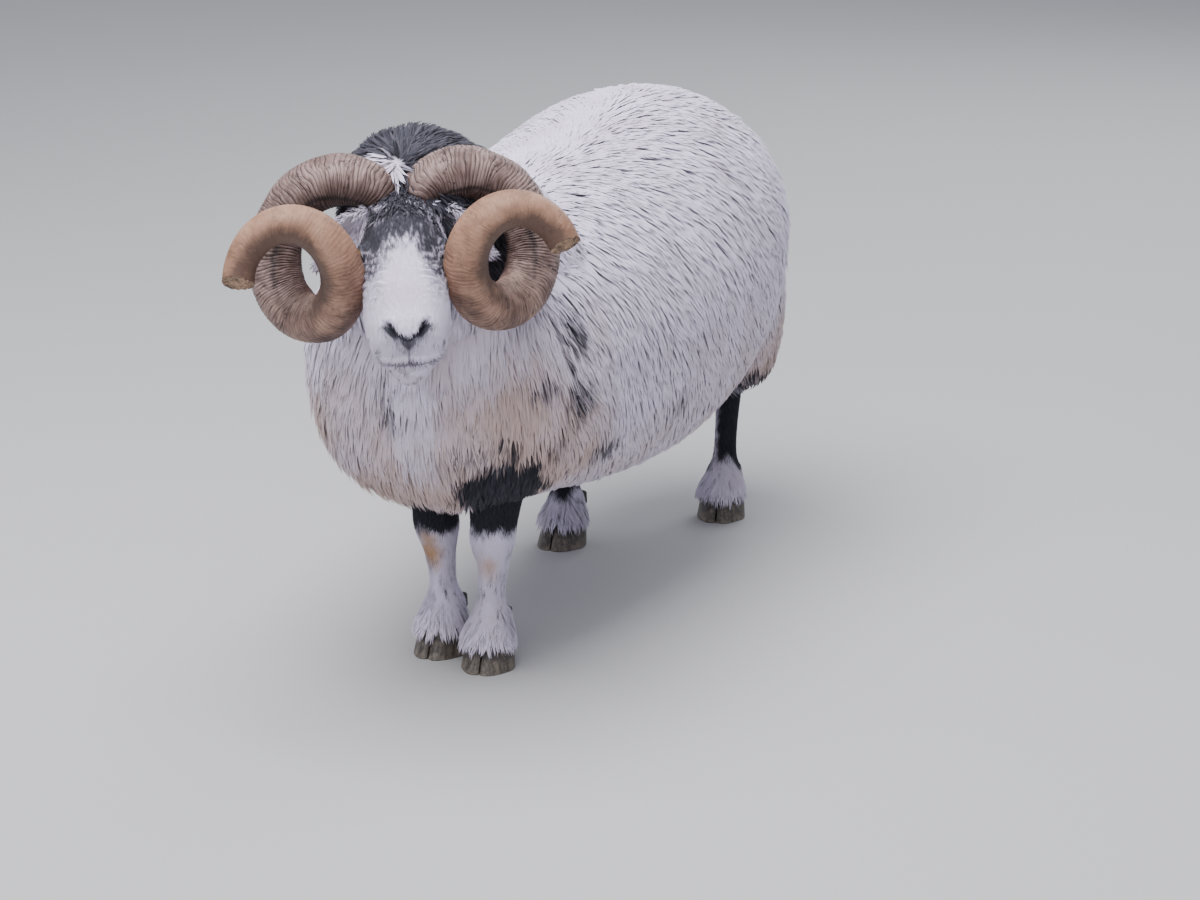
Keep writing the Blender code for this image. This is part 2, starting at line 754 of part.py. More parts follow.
def make_head(collection, scratch, child_seats):
    """Skull and muzzle with lids, nostrils and mouth, and seats for horns, ears and eyes."""
    head = loft("head", head_rings(), collection, finish("face_hair"))
    seat = grown(head, GAP, scratch)
    lids = [lid_ring(side, scratch) for side in (1, -1)]
    combine(head, lids, "UNION")
    cuts = [mouth_cutter(scratch), philtrum_cutter(scratch)]
    for side in (1, -1):
        x, y, z = NOSTRIL_CENTRE
        cuts.append(ball("nostril", (side * x, y, z), NOSTRIL_SIZE, scratch, -side * NOSTRIL_SLANT, 12, 8))
    for cut in cuts + child_seats:
        combine(head, [cut], "DIFFERENCE")
    keep_largest(head)
    return seat


def horn_axis():
    """Direction in which a horn's coil advances, for the left side."""
    out, rise = HORN_AXIS_OUT, HORN_AXIS_UP
    return np.array([math.cos(rise) * math.sin(out), -math.cos(rise) * math.cos(out), math.sin(rise)])


def horn_path(turn_count):
    """Centres and radii along the left coil, from a narrow root sunk in the skull."""
    axis = horn_axis()
    up = np.array([0.0, 0.0, 1.0]) - axis[2] * axis
    up /= np.linalg.norm(up)
    over = np.cross(up, axis)
    turns = np.linspace(0, turn_count, HORN_RINGS)
    angle = HORN_START + turns * 2 * math.pi
    radius = HORN_COIL_RADIUS * (1 - HORN_TIGHTENING * turns)
    advance = HORN_ADVANCE * turns - HORN_ADVANCE_SLOWING * turns**2
    path = np.array(HORN_CENTRE) + np.outer(advance, axis) + np.outer(radius * np.cos(angle), up)
    path += np.outer(radius * np.sin(angle) * HORN_COIL_FLATTENING, over)
    coil = np.column_stack([path, np.interp(turns, *zip(*HORN_TUBE))])
    return smoothed(np.vstack([HORN_ROOT, coil]), HORN_RINGS)


def horn_rings(side):
    """Rings square to the coil, to the blunt tip."""
    rows = horn_path(HORN_TURNS[side])
    axis = horn_axis()
    across, tall = oval(HORN_SIDES)
    rings = []
    for row, tangent in zip(rows, np.gradient(rows[:, :3], axis=0)):
        tangent = tangent / np.linalg.norm(tangent)
        one = axis - tangent * axis.dot(tangent)
        one /= np.linalg.norm(one)
        two = np.cross(tangent, one)
        ring = row[:3] + np.outer(across * row[3], one) + np.outer(tall * row[3], two)
        rings.append(on_head(ring * np.array([side, 1, 1])))
    return rings


def ear_rings(side):
    """Crescent rings from the root to the tip, hollow towards the front."""
    along = np.array(EAR_DIRECTION) / np.linalg.norm(EAR_DIRECTION)
    facing = np.array(EAR_FACING) - along * np.dot(EAR_FACING, along)
    facing /= np.linalg.norm(facing)
    across = np.cross(along, facing)
    rings = []
    for s in np.linspace(EAR_START, 1.0, EAR_RINGS):
        width = EAR_HALF_WIDTH * ear_width(s)
        cup = EAR_CUP * ear_width(s) ** 1.5
        thick = EAR_THICKNESS * (1.6 - 1.1 * max(s, 0))
        centre = np.array(EAR_ROOT) + along * EAR_LENGTH * s
        ring = []
        for v in np.linspace(-1, 1, EAR_SIDES):
            back = -cup * (1 - v * v)
            ring.append(centre + across * width * v + facing * (back - thick / 2))
        for v in np.linspace(EAR_RIM, -EAR_RIM, EAR_SIDES - 2):
            back = -cup * (1 - v * v)
            ring.append(centre + across * width * v + facing * (back + thick / 2))
        rings.append(on_head(np.array(ring) * np.array([side, 1, 1])))
    return rings


def ear_width(s):
    """Half width along the ear, as a share of the widest."""
    if s < EAR_WIDEST:
        grown_share = math.sin(math.pi / 2 * (s - EAR_START) / (EAR_WIDEST - EAR_START))
        return EAR_ROOT_WIDTH + (1 - EAR_ROOT_WIDTH) * grown_share
    narrowed = (s - EAR_WIDEST) / (1.01 - EAR_WIDEST)
    return max(math.cos(math.pi / 2 * narrowed) ** 0.8, EAR_TIP_WIDTH)


def leg_stations(name):
    """The leg's stations in the body's frame."""
    x, y, _ = FEET[name]
    side = 1 if name.endswith("left") else -1
    table = FORE_LEG if name.startswith("fore") else HIND_LEG
    return [(x + side * out, y + back, z, wide, long) for z, out, back, wide, long in table]


def make_leg(name, collection, scratch, dewclaws):
    """One leg from inside the fleece down to the coronet, with seats for its dewclaws."""
    rings = level_rings(leg_stations(name), LEG_SIDES, LEG_RINGS)
    leg = loft(name + "_leg", rings, collection, finish("leg_hair"))
    for dewclaw in dewclaws:
        combine(leg, [grown(dewclaw, GAP, scratch)], "DIFFERENCE")
    keep_largest(leg)
    return leg


def claw_outline(scale, side, back):
    """Half of a foot's outline: straight at the cleft, round outside, pointed at the toe."""
    points = []
    for t in np.arange(CLAW_SIDES) * 2 * math.pi / CLAW_SIDES:
        across = max(math.cos(t), -CLAW_FLATNESS) + CLAW_FLATNESS
        width = across / (1 + CLAW_FLATNESS) * CLAW_WIDTH * scale
        width *= 1 - TOE_NARROWING * max(math.sin(t), 0)
        long = -math.sin(t) * CLAW_LENGTH / 2 * scale
        points.append((side * (CLEFT / 2 + width), long + back))
    return points


def make_claw(name, foot, side, collection):
    """One claw of a foot, flat on the floor, its wall sloping back to the coronet."""
    x, y, turn = FEET[foot]
    spin = Matrix.Translation((x, y, 0)) @ Matrix.Rotation(turn, 4, "Z")
    rings = []
    for share in (0.0, 0.35, 0.75, 1.0):
        scale = 1 + (CLAW_TOP_SCALE - 1) * share
        outline = claw_outline(scale, side, CLAW_SLOPE * (share - 1))
        rings.append([spin @ Vector((px, py, share * CLAW_HEIGHT)) for px, py in outline])
    return loft(name, rings, collection, finish("hoof"))


def make_dewclaw(name, foot, side, collection):
    """A small blunt cone behind the pastern."""
    x, y, turn = FEET[foot]
    mesh = bmesh.new()
    bmesh.ops.create_cone(
        mesh,
        cap_ends=True,
        segments=8,
        radius1=DEWCLAW_RADIUS * DEWCLAW_TIP_SHARE,
        radius2=DEWCLAW_RADIUS,
        depth=DEWCLAW_LENGTH,
    )
    lean = Matrix.Rotation(DEWCLAW_LEAN, 4, "X")
    place = Matrix.Translation((x, y, 0)) @ Matrix.Rotation(turn, 4, "Z")
    place = place @ Matrix.Translation((side * DEWCLAW_SPREAD, DEWCLAW_BACK, DEWCLAW_HEIGHT)) @ lean
    bmesh.ops.transform(mesh, matrix=place, verts=mesh.verts)
    return finished(name, mesh, collection, finish("hoof"))


def make_feet(collection, scratch):
    """All legs with their claws and dewclaws."""
    legs = []
    for foot in FEET:
        dewclaws = []
        for label, side in (("inner", -1), ("outer", 1)):
            sign = side if foot.endswith("left") else -side
            make_claw(f"{foot}_claw_{label}", foot, sign, collection)
            dewclaws.append(make_dewclaw(f"{foot}_dewclaw_{label}", foot, sign, collection))
        legs.append(make_leg(foot, collection, scratch, dewclaws))
    return legs


def make_head_parts(collection):
    """Horns, ears and eyes, each a node of its own."""
    parts = {"horn": [], "ear": [], "eye": []}
    for label, side in (("left", 1), ("right", -1)):
        parts["horn"].append(loft("horn_" + label, horn_rings(side), collection, finish("horn")))
        parts["ear"].append(loft("ear_" + label, ear_rings(side), collection, finish("ear_skin")))
        x, y, z = EYE_CENTRE
        eye = ball("eye_" + label, (side * x, y, z), (EYE_RADIUS,) * 3, collection, 0.0, 14, 8)
        eye.data.materials.append(finish("eye"))
        parts["eye"].append(eye)
    return parts


def seat_ears(parts, scratch):
    """Keep the ears clear of the horns that pass close by."""
    for ear in parts["ear"]:
        for horn in parts["horn"]:
            combine(ear, [grown(horn, GAP, scratch)], "DIFFERENCE")
        keep_largest(ear)


def part_body(body, front_seats, rear_seats, collection, scratch):
    """Part the fleece into neck and torso, and cut the seats of all that grows from it."""
    neck = bpy.data.objects.new("neck", body.data.copy())
    neck.data.materials.clear()
    neck.data.materials.append(finish("black_wool"))
    collection.objects.link(neck)
    front = Vector(PARTING_NORMAL)
    combine(body, [half_space("front_half", PARTING_POINT, front, scratch)], "DIFFERENCE")
    combine(neck, [half_space("back_half", PARTING_POINT, -front, scratch)], "DIFFERENCE")
    for seat in front_seats:
        combine(neck, [seat], "DIFFERENCE")
    for seat in rear_seats:
        combine(body, [seat], "DIFFERENCE")
    keep_largest(body)
    keep_largest(neck)


def stand_over_origin(collection):
    """Bring the floor point under the ram's middle to the origin."""
    shift = Matrix.Translation(-Vector(STAND_POINT))
    for obj in collection.objects:
        obj.data.transform(shift)


def main():
    """Build every node of the ram."""
    clear_scene()
    ram = bpy.data.collections.new("blackface_ram")
    scratch = bpy.data.collections.new("cutters")
    for collection in (ram, scratch):
        bpy.context.scene.collection.children.link(collection)
    scratch.hide_render = True
    parts = make_head_parts(ram)
    beside = parts["horn"] + parts["ear"]
    head_cuts = [grown(child, GAP, scratch) for child in beside + parts["eye"]]
    neck_cuts = [grown(child, GAP, scratch) for child in beside]
    seat_ears(parts, scratch)
    neck_cuts.append(make_head(ram, scratch, head_cuts))
    legs = make_feet(ram, scratch)
    tail_seat = make_tail(ram, scratch)
    body = fleece_body(ram, scratch)
    rear_cuts = [grown(leg, GAP, scratch) for leg in legs] + [tail_seat]
    part_body(body, neck_cuts, rear_cuts, ram, scratch)
    stand_over_origin(ram)


main()
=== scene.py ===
"""A Scottish Blackface ram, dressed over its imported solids: one hide, wool and short hair as solid
tufts, ribbed horns, eyes and hooves, on a plain floor in soft light.

Metres, +Z up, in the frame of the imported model: the soles on z = 0, the chest towards -Y and the
animal's left at +X. The head has a frame of its own, with -Y along the face.
"""

import logging
import math
from dataclasses import dataclass, field
from enum import Enum
from typing import Callable, Iterable, Sequence

import bpy
import numpy as np
from mathutils import Matrix, Vector
from mathutils.kdtree import KDTree


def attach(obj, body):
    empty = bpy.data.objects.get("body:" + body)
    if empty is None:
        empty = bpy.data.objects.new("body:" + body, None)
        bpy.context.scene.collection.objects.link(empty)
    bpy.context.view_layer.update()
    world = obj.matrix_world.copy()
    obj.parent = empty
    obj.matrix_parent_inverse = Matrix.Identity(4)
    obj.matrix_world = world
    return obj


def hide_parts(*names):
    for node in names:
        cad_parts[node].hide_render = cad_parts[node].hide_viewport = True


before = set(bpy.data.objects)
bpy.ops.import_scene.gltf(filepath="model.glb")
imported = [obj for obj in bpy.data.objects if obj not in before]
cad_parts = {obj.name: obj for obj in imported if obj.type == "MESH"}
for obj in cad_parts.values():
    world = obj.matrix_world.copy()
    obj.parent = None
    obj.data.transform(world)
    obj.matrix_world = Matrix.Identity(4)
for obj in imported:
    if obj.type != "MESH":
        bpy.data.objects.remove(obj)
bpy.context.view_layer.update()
log = logging.getLogger("ram")

# The floor point of the part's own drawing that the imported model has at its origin
STAND_POINT = np.array([0.011, -0.106, 0.0])
BAKE_MAP = "OFBake"
PATCH = 0.003
MAP_LOW, MAP_HIGH = 0.004, 0.993
NOISE_TABLE = 4096
NOISE_PRIMES = (73856093, 19349663, 83492791)

# Trunk: how far along, lowest and highest wool there, and half its width
TRUNK_STATIONS = (
    (-0.515, 0.390, 0.480, 0.050),
    (-0.492, 0.302, 0.556, 0.118),
    (-0.428, 0.236, 0.612, 0.180),
    (-0.300, 0.212, 0.612, 0.206),
    (-0.120, 0.184, 0.622, 0.223),
    (0.080, 0.172, 0.643, 0.233),
    (0.260, 0.200, 0.662, 0.226),
    (0.390, 0.254, 0.648, 0.200),
    (0.465, 0.320, 0.604, 0.152),
    (0.505, 0.400, 0.525, 0.070),
)
BACK_SQUARENESS = 1.98
BELLY_SQUARENESS = 2.5
BREECH_LEFT = (
    (0.100, 0.315, 0.540, 0.040, 0.060),
    (0.104, 0.330, 0.465, 0.086, 0.132),
    (0.108, 0.378, 0.370, 0.086, 0.118),
    (0.110, 0.420, 0.285, 0.070, 0.088),
    (0.108, 0.438, 0.230, 0.052, 0.062),
    (0.104, 0.440, 0.205, 0.028, 0.036),
)
BREECH_RIGHT = (
    (-0.100, 0.300, 0.540, 0.040, 0.060),
    (-0.108, 0.300, 0.465, 0.090, 0.135),
    (-0.108, 0.284, 0.370, 0.090, 0.126),
    (-0.088, 0.236, 0.285, 0.060, 0.082),
    (-0.078, 0.216, 0.240, 0.042, 0.056),
    (-0.075, 0.212, 0.222, 0.024, 0.034),
)
NECK_STATIONS = (
    (0.000, -0.250, 0.435, 0.172, 0.140),
    (0.000, -0.350, 0.510, 0.158, 0.160),
    (0.000, -0.455, 0.590, 0.118, 0.136),
    (0.000, -0.520, 0.622, 0.092, 0.104),
    (0.002, -0.560, 0.632, 0.062, 0.066),
)
NAPE_CENTRE = (-0.014, -0.452, 0.652)
NAPE_SIZES = (0.094, 0.085, 0.076)
TAIL_STATIONS = (
    (0.000, 0.462, 0.585, 0.028, 0.022),
    (0.000, 0.500, 0.555, 0.036, 0.028),
    (0.000, 0.522, 0.490, 0.042, 0.030),
    (0.000, 0.516, 0.410, 0.042, 0.030),
    (0.000, 0.496, 0.330, 0.034, 0.024),
    (0.000, 0.486, 0.285, 0.012, 0.010),
)
HEAD_STATIONS = (
    (0.062, -0.050, -0.090, 0.020, 0.016),
    (0.050, -0.020, -0.112, 0.040, 0.030),
    (0.015, -0.002, -0.128, 0.052, 0.038),
    (-0.030, 0.004, -0.138, 0.053, 0.040),
    (-0.075, 0.004, -0.142, 0.054, 0.040),
    (-0.110, -0.001, -0.140, 0.056, 0.038),
    (-0.150, -0.009, -0.136, 0.057, 0.037),
    (-0.190, -0.017, -0.131, 0.055, 0.034),
    (-0.220, -0.025, -0.126, 0.050, 0.024),
    (-0.238, -0.034, -0.117, 0.042, 0.020),
    (-0.247, -0.048, -0.100, 0.023, 0.013),
)
HEAD_PLACE = (0.009, -0.559, 0.666)
HEAD_YAW = math.radians(25.4)
HEAD_PITCH = math.radians(23.0)
HEAD_ROLL = math.radians(-3.7)
FEET = {
    "fore_left": (0.045, -0.367, math.radians(4)),
    "fore_right": (-0.038, -0.330, math.radians(-4)),
    "hind_left": (0.093, 0.422, math.radians(6)),
    "hind_right": (-0.073, 0.199, math.radians(-6)),
}
FORE_LEG = (
    (0.350, 0.010, 0.020, 0.050, 0.062),
    (0.290, 0.010, 0.012, 0.046, 0.056),
    (0.238, 0.009, 0.004, 0.037, 0.043),
    (0.200, 0.008, -0.002, 0.0315, 0.035),
    (0.172, 0.006, -0.003, 0.0300, 0.032),
    (0.135, 0.004, 0.003, 0.0210, 0.025),
    (0.095, 0.001, 0.005, 0.0180, 0.023),
    (0.070, 0.000, 0.006, 0.0270, 0.030),
    (0.052, 0.000, 0.000, 0.0325, 0.033),
    (0.0383, 0.000, -0.004, 0.0355, 0.036),
)
HIND_LEG = (
    (0.400, 0.010, -0.030, 0.055, 0.075),
    (0.310, 0.008, -0.012, 0.040, 0.055),
    (0.255, 0.004, 0.014, 0.025, 0.036),
    (0.220, 0.002, 0.026, 0.0225, 0.033),
    (0.190, 0.001, 0.022, 0.0190, 0.026),
    (0.130, 0.000, 0.014, 0.0165, 0.021),
    (0.092, 0.000, 0.009, 0.0180, 0.022),
    (0.070, 0.000, 0.007, 0.0260, 0.029),
    (0.052, 0.000, 0.000, 0.0320, 0.033),
    (0.0383, 0.000, -0.004, 0.0350, 0.036),
)


class Zone(Enum):
    """The parts of the hide, by the form that each place of it came from."""

    TRUNK = 0
    NECK = 1
    NAPE = 2
    BREECH = 3
    TAIL = 4
    FORE_LEFT = 5
    FORE_RIGHT = 6
    HIND_LEFT = 7
    HIND_RIGHT = 8
    HEAD = 9
    EAR_LEFT = 10
    EAR_RIGHT = 11


WOOLLY = (Zone.TRUNK, Zone.NECK, Zone.NAPE, Zone.BREECH, Zone.TAIL)
LEGS = {
    "fore_left": Zone.FORE_LEFT,
    "fore_right": Zone.FORE_RIGHT,
    "hind_left": Zone.HIND_LEFT,
    "hind_right": Zone.HIND_RIGHT,
}


# Shapes shared by the pieces


def smoothed(stations: Sequence[Sequence[float]], count: int) -> np.ndarray:
    """Rows along a smooth curve through the stations.

    Args:
        stations: rows of numbers, the curve's places and widths.
        count: how many rows to give.

    Returns:
        The rows, evenly spread by distance.
    """
    rows = np.array(stations, float)
    ends = np.vstack([2 * rows[0] - rows[1], rows, 2 * rows[-1] - rows[-2]])
    fine = []
    for a, b, c, d in zip(ends, ends[1:], ends[2:], ends[3:]):
        for t in np.linspace(0, 1, 16, endpoint=False):
            bend = (2 * a - 5 * b + 4 * c - d) * t**2 + (3 * b - a - 3 * c + d) * t**3
            fine.append(0.5 * (2 * b + (c - a) * t + bend))
    fine.append(rows[-1])
    fine = np.array(fine)
    along = np.concatenate([[0], np.cumsum(np.linalg.norm(np.diff(fine, axis=0), axis=1))])
    wanted = np.linspace(0, along[-1], count)
    return np.column_stack([np.interp(wanted, along, column) for column in fine.T])


def oval(sides: int, squareness: float = 2.0) -> tuple[np.ndarray, np.ndarray]:
    """Unit points round an oval, counter-clockwise from +across."""
    turn = np.arange(sides) * 2 * math.pi / sides
    power = 2 / squareness
    across, up = np.cos(turn), np.sin(turn)
    return np.sign(across) * np.abs(across) ** power, np.sign(up) * np.abs(up) ** power


def trunk_rings(sides: int, count: int, inset: float) -> np.ndarray:
    """Upright rings from the chest to the rump, this far inside the tips of the wool."""
    across, up = oval(sides, BACK_SQUARENESS)
    low_across, low_up = oval(sides, BELLY_SQUARENESS)
    across, up = np.where(up < 0, low_across, across), np.where(up < 0, low_up, up)
    rings = []
    for y, low, high, half in smoothed(TRUNK_STATIONS, count):
        tall = max((high - low) / 2 - inset, 0.006)
        wide = max(half - inset, 0.006)
        rings.append(np.column_stack([across * wide, np.full(sides, y), (low + high) / 2 + up * tall]))
    return np.array(rings)


def level_rings(stations: Sequence[Sequence[float]], sides: int, count: int, inset: float) -> np.ndarray:
    """Level rings down a path: centre, half width, half length."""
    across, along = oval(sides)
    rings = []
    for x, y, z, wide, long in smoothed(stations, count):
        wide, long = max(wide - inset, 0.005), max(long - inset, 0.005)
        rings.append(np.column_stack([x + across * wide, y + along * long, np.full(sides, z)]))
    return np.array(rings)


def path_rings(stations: Sequence[Sequence[float]], sides: int, count: int, inset: float) -> np.ndarray:
    """Rings square to a path that stays near the middle plane."""
    rows = smoothed(stations, count)
    across, up = oval(sides)
    rings = []
    for (x, y, z, wide, tall), tangent in zip(rows, np.gradient(rows[:, :3], axis=0)):
        tangent = tangent / np.linalg.norm(tangent)
        side = np.array([1.0, 0.0, 0.0]) - tangent * tangent[0]
        side /= np.linalg.norm(side)
        top = np.cross(side, tangent)
        wide, tall = max(wide - inset, 0.005), max(tall - inset, 0.005)
        rings.append(np.array([x, y, z]) + np.outer(across * wide, side) + np.outer(up * tall, top))
    return np.array(rings)


def head_matrix() -> Matrix:
    """From the head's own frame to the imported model's."""
    turn = Matrix.Rotation(HEAD_YAW, 4, "Z") @ Matrix.Rotation(HEAD_PITCH, 4, "X")
    place = Matrix.Translation(Vector(HEAD_PLACE) - Vector(STAND_POINT))
    return place @ turn @ Matrix.Rotation(HEAD_ROLL, 4, "Y")


HEAD = np.array(head_matrix())
HEAD_BACK = np.linalg.inv(HEAD)


def on_head(points: np.ndarray) -> np.ndarray:
    """Points of the head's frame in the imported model's."""
    return np.asarray(points) @ HEAD[:3, :3].T + HEAD[:3, 3]


def in_head(points: np.ndarray) -> np.ndarray:
    """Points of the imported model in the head's own frame."""
    return np.asarray(points) @ HEAD_BACK[:3, :3].T + HEAD_BACK[:3, 3]


def unit(vectors: np.ndarray) -> np.ndarray:
    """The vectors at length one."""
    return vectors / np.maximum(np.linalg.norm(vectors, axis=-1, keepdims=True), 1e-12)


def bell(distance: np.ndarray, width: float) -> np.ndarray:
    """A smooth hump of height one and this half width."""
    return np.exp(-((distance / width) ** 2))


def ramp(value: np.ndarray, low: float, high: float) -> np.ndarray:
    """From 0 at low to 1 at high, eased at both ends."""
    t = np.clip((value - low) / (high - low), 0, 1)
    return t * t * (3 - 2 * t)


def value_noise(points: np.ndarray, scale: float, seed: int) -> np.ndarray:
    """Smooth seeded noise between -1 and 1.

    Args:
        points: places, in metres.
        scale: the size of its features, in metres.
        seed: picks the pattern.

    Returns:
        One number for each place.
    """
    table = np.random.RandomState(seed).uniform(-1, 1, NOISE_TABLE)
    cell = points / scale
    base = np.floor(cell).astype(np.int64)
    part = cell - base
    part = part * part * (3 - 2 * part)
    total = np.zeros(len(points))
    for corner in range(8):
        step = np.array([corner & 1, corner >> 1 & 1, corner >> 2 & 1])
        key = (base + step) @ np.array(NOISE_PRIMES)
        weight = np.prod(np.where(step, part, 1 - part), axis=1)
        total += weight * table[np.bitwise_xor(key, key >> 13) % NOISE_TABLE]
    return total


def deselect_all() -> None:
    """Leave object mode with nothing selected."""
    if bpy.context.object and bpy.context.object.mode != "OBJECT":
        bpy.ops.object.mode_set(mode="OBJECT")
    bpy.ops.object.select_all(action="DESELECT")


def make_active(obj: bpy.types.Object) -> None:
    """Select this object alone and make it the active one."""
    deselect_all()
    obj.select_set(True)
    bpy.context.view_layer.objects.active = obj


def new_object(name: str, points: np.ndarray, faces: Iterable[Sequence[int]]) -> bpy.types.Object:
    """A mesh object at the origin, from points and faces."""
    data = bpy.data.meshes.new(name)
    data.from_pydata(np.asarray(points).tolist(), [], [list(face) for face in faces])
    obj = bpy.data.objects.new(name, data)
    bpy.context.scene.collection.objects.link(obj)
    return obj


def lofted(name: str, rings: np.ndarray) -> bpy.types.Object:
    """A closed shell over rings of equal count, its ends filled, with its faces pointing out.

    Args:
        name: the object's name.
        rings: an array of rings, each of as many points.

    Returns:
        The object.
    """
    count, sides = rings.shape[:2]
    points = np.concatenate([rings.reshape(-1, 3), [rings[0].mean(0), rings[-1].mean(0)]])
    faces = []
    for first in range(0, (count - 1) * sides, sides):
        for i in range(sides):
            j = (i + 1) % sides
            faces.append((first + i, first + j, first + sides + j, first + sides + i))
    last = (count - 1) * sides
    for i in range(sides):
        j = (i + 1) % sides
        faces.append((j, i, count * sides))
        faces.append((last + i, last + j, count * sides + 1))
    obj = new_object(name, points, faces)
    make_active(obj)
    bpy.ops.object.mode_set(mode="EDIT")
    bpy.ops.mesh.select_all(action="SELECT")
    bpy.ops.mesh.normals_make_consistent(inside=False)
    bpy.ops.object.mode_set(mode="OBJECT")
    return obj


def coordinates(obj: bpy.types.Object) -> np.ndarray:
    """All points of the object's mesh."""
    flat = np.empty(len(obj.data.vertices) * 3, np.float32)
    obj.data.vertices.foreach_get("co", flat)
    return flat.reshape(-1, 3).astype(float)


def point_normals(obj: bpy.types.Object) -> np.ndarray:
    """The normal at each point of the object's mesh."""
    flat = np.empty(len(obj.data.vertices) * 3, np.float32)
    obj.data.vertex_normals.foreach_get("vector", flat)
    return flat.reshape(-1, 3).astype(float)


def put_coordinates(obj: bpy.types.Object, points: np.ndarray) -> None:
    """Move the points of the object's mesh."""
    obj.data.vertices.foreach_set("co", points.astype(np.float32).ravel())
    obj.data.update()


def apply_modifier(obj: bpy.types.Object, kind: str, **settings: object) -> None:
    """Add one modifier with its settings and apply it."""
    make_active(obj)
    modifier = obj.modifiers.new(kind.lower(), kind)
    for name, value in settings.items():
        setattr(modifier, name, value)
    bpy.ops.object.modifier_apply(modifier=modifier.name)


# Shader maths


class Socket:
    """A shader value that can be written in expressions."""

    def __init__(self, tree: "Shader", socket: bpy.types.NodeSocket) -> None:
        """Wrap one output of a node."""
        self.tree = tree
        self.socket = socket

    def _with(self, operation: str, one: object, two: object = 0.0) -> "Socket":
        """A Math node on two values."""
        return self.tree.add("ShaderNodeMath", {"operation": operation}, {0: one, 1: two})

    def __add__(self, other: object) -> "Socket":
        """Sum."""
        return self._with("ADD", self, other)

    __radd__ = __add__

    def __mul__(self, other: object) -> "Socket":
        """Product."""
        return self._with("MULTIPLY", self, other)

    __rmul__ = __mul__

    def __sub__(self, other: object) -> "Socket":
        """Difference."""
        return self._with("SUBTRACT", self, other)

    def __rsub__(self, other: object) -> "Socket":
        """Difference, the other way round."""
        return self._with("SUBTRACT", other, self)

    def __truediv__(self, other: object) -> "Socket":
        """Quotient."""
        return self._with("DIVIDE", self, other)

    def __pow__(self, other: object) -> "Socket":
        """Power."""
        return self._with("POWER", self, other)

    def least(self, other: object) -> "Socket":
        """The smaller of two."""
        return self._with("MINIMUM", self, other)

    def most(self, other: object) -> "Socket":
        """The larger of two."""
        return self._with("MAXIMUM", self, other)

    def cosine(self) -> "Socket":
        """Cosine."""
        return self._with("COSINE", self)

    def sine(self) -> "Socket":
        """Sine."""
        return self._with("SINE", self)

    def size(self) -> "Socket":
        """Without its sign."""
        return self._with("ABSOLUTE", self)

    def eased(self, low: float, high: float) -> "Socket":
        """From 0 at low to 1 at high, eased."""
        settings = {"interpolation_type": "SMOOTHSTEP"}
        return self.tree.add("ShaderNodeMapRange", settings, {0: self, 1: low, 2: high})


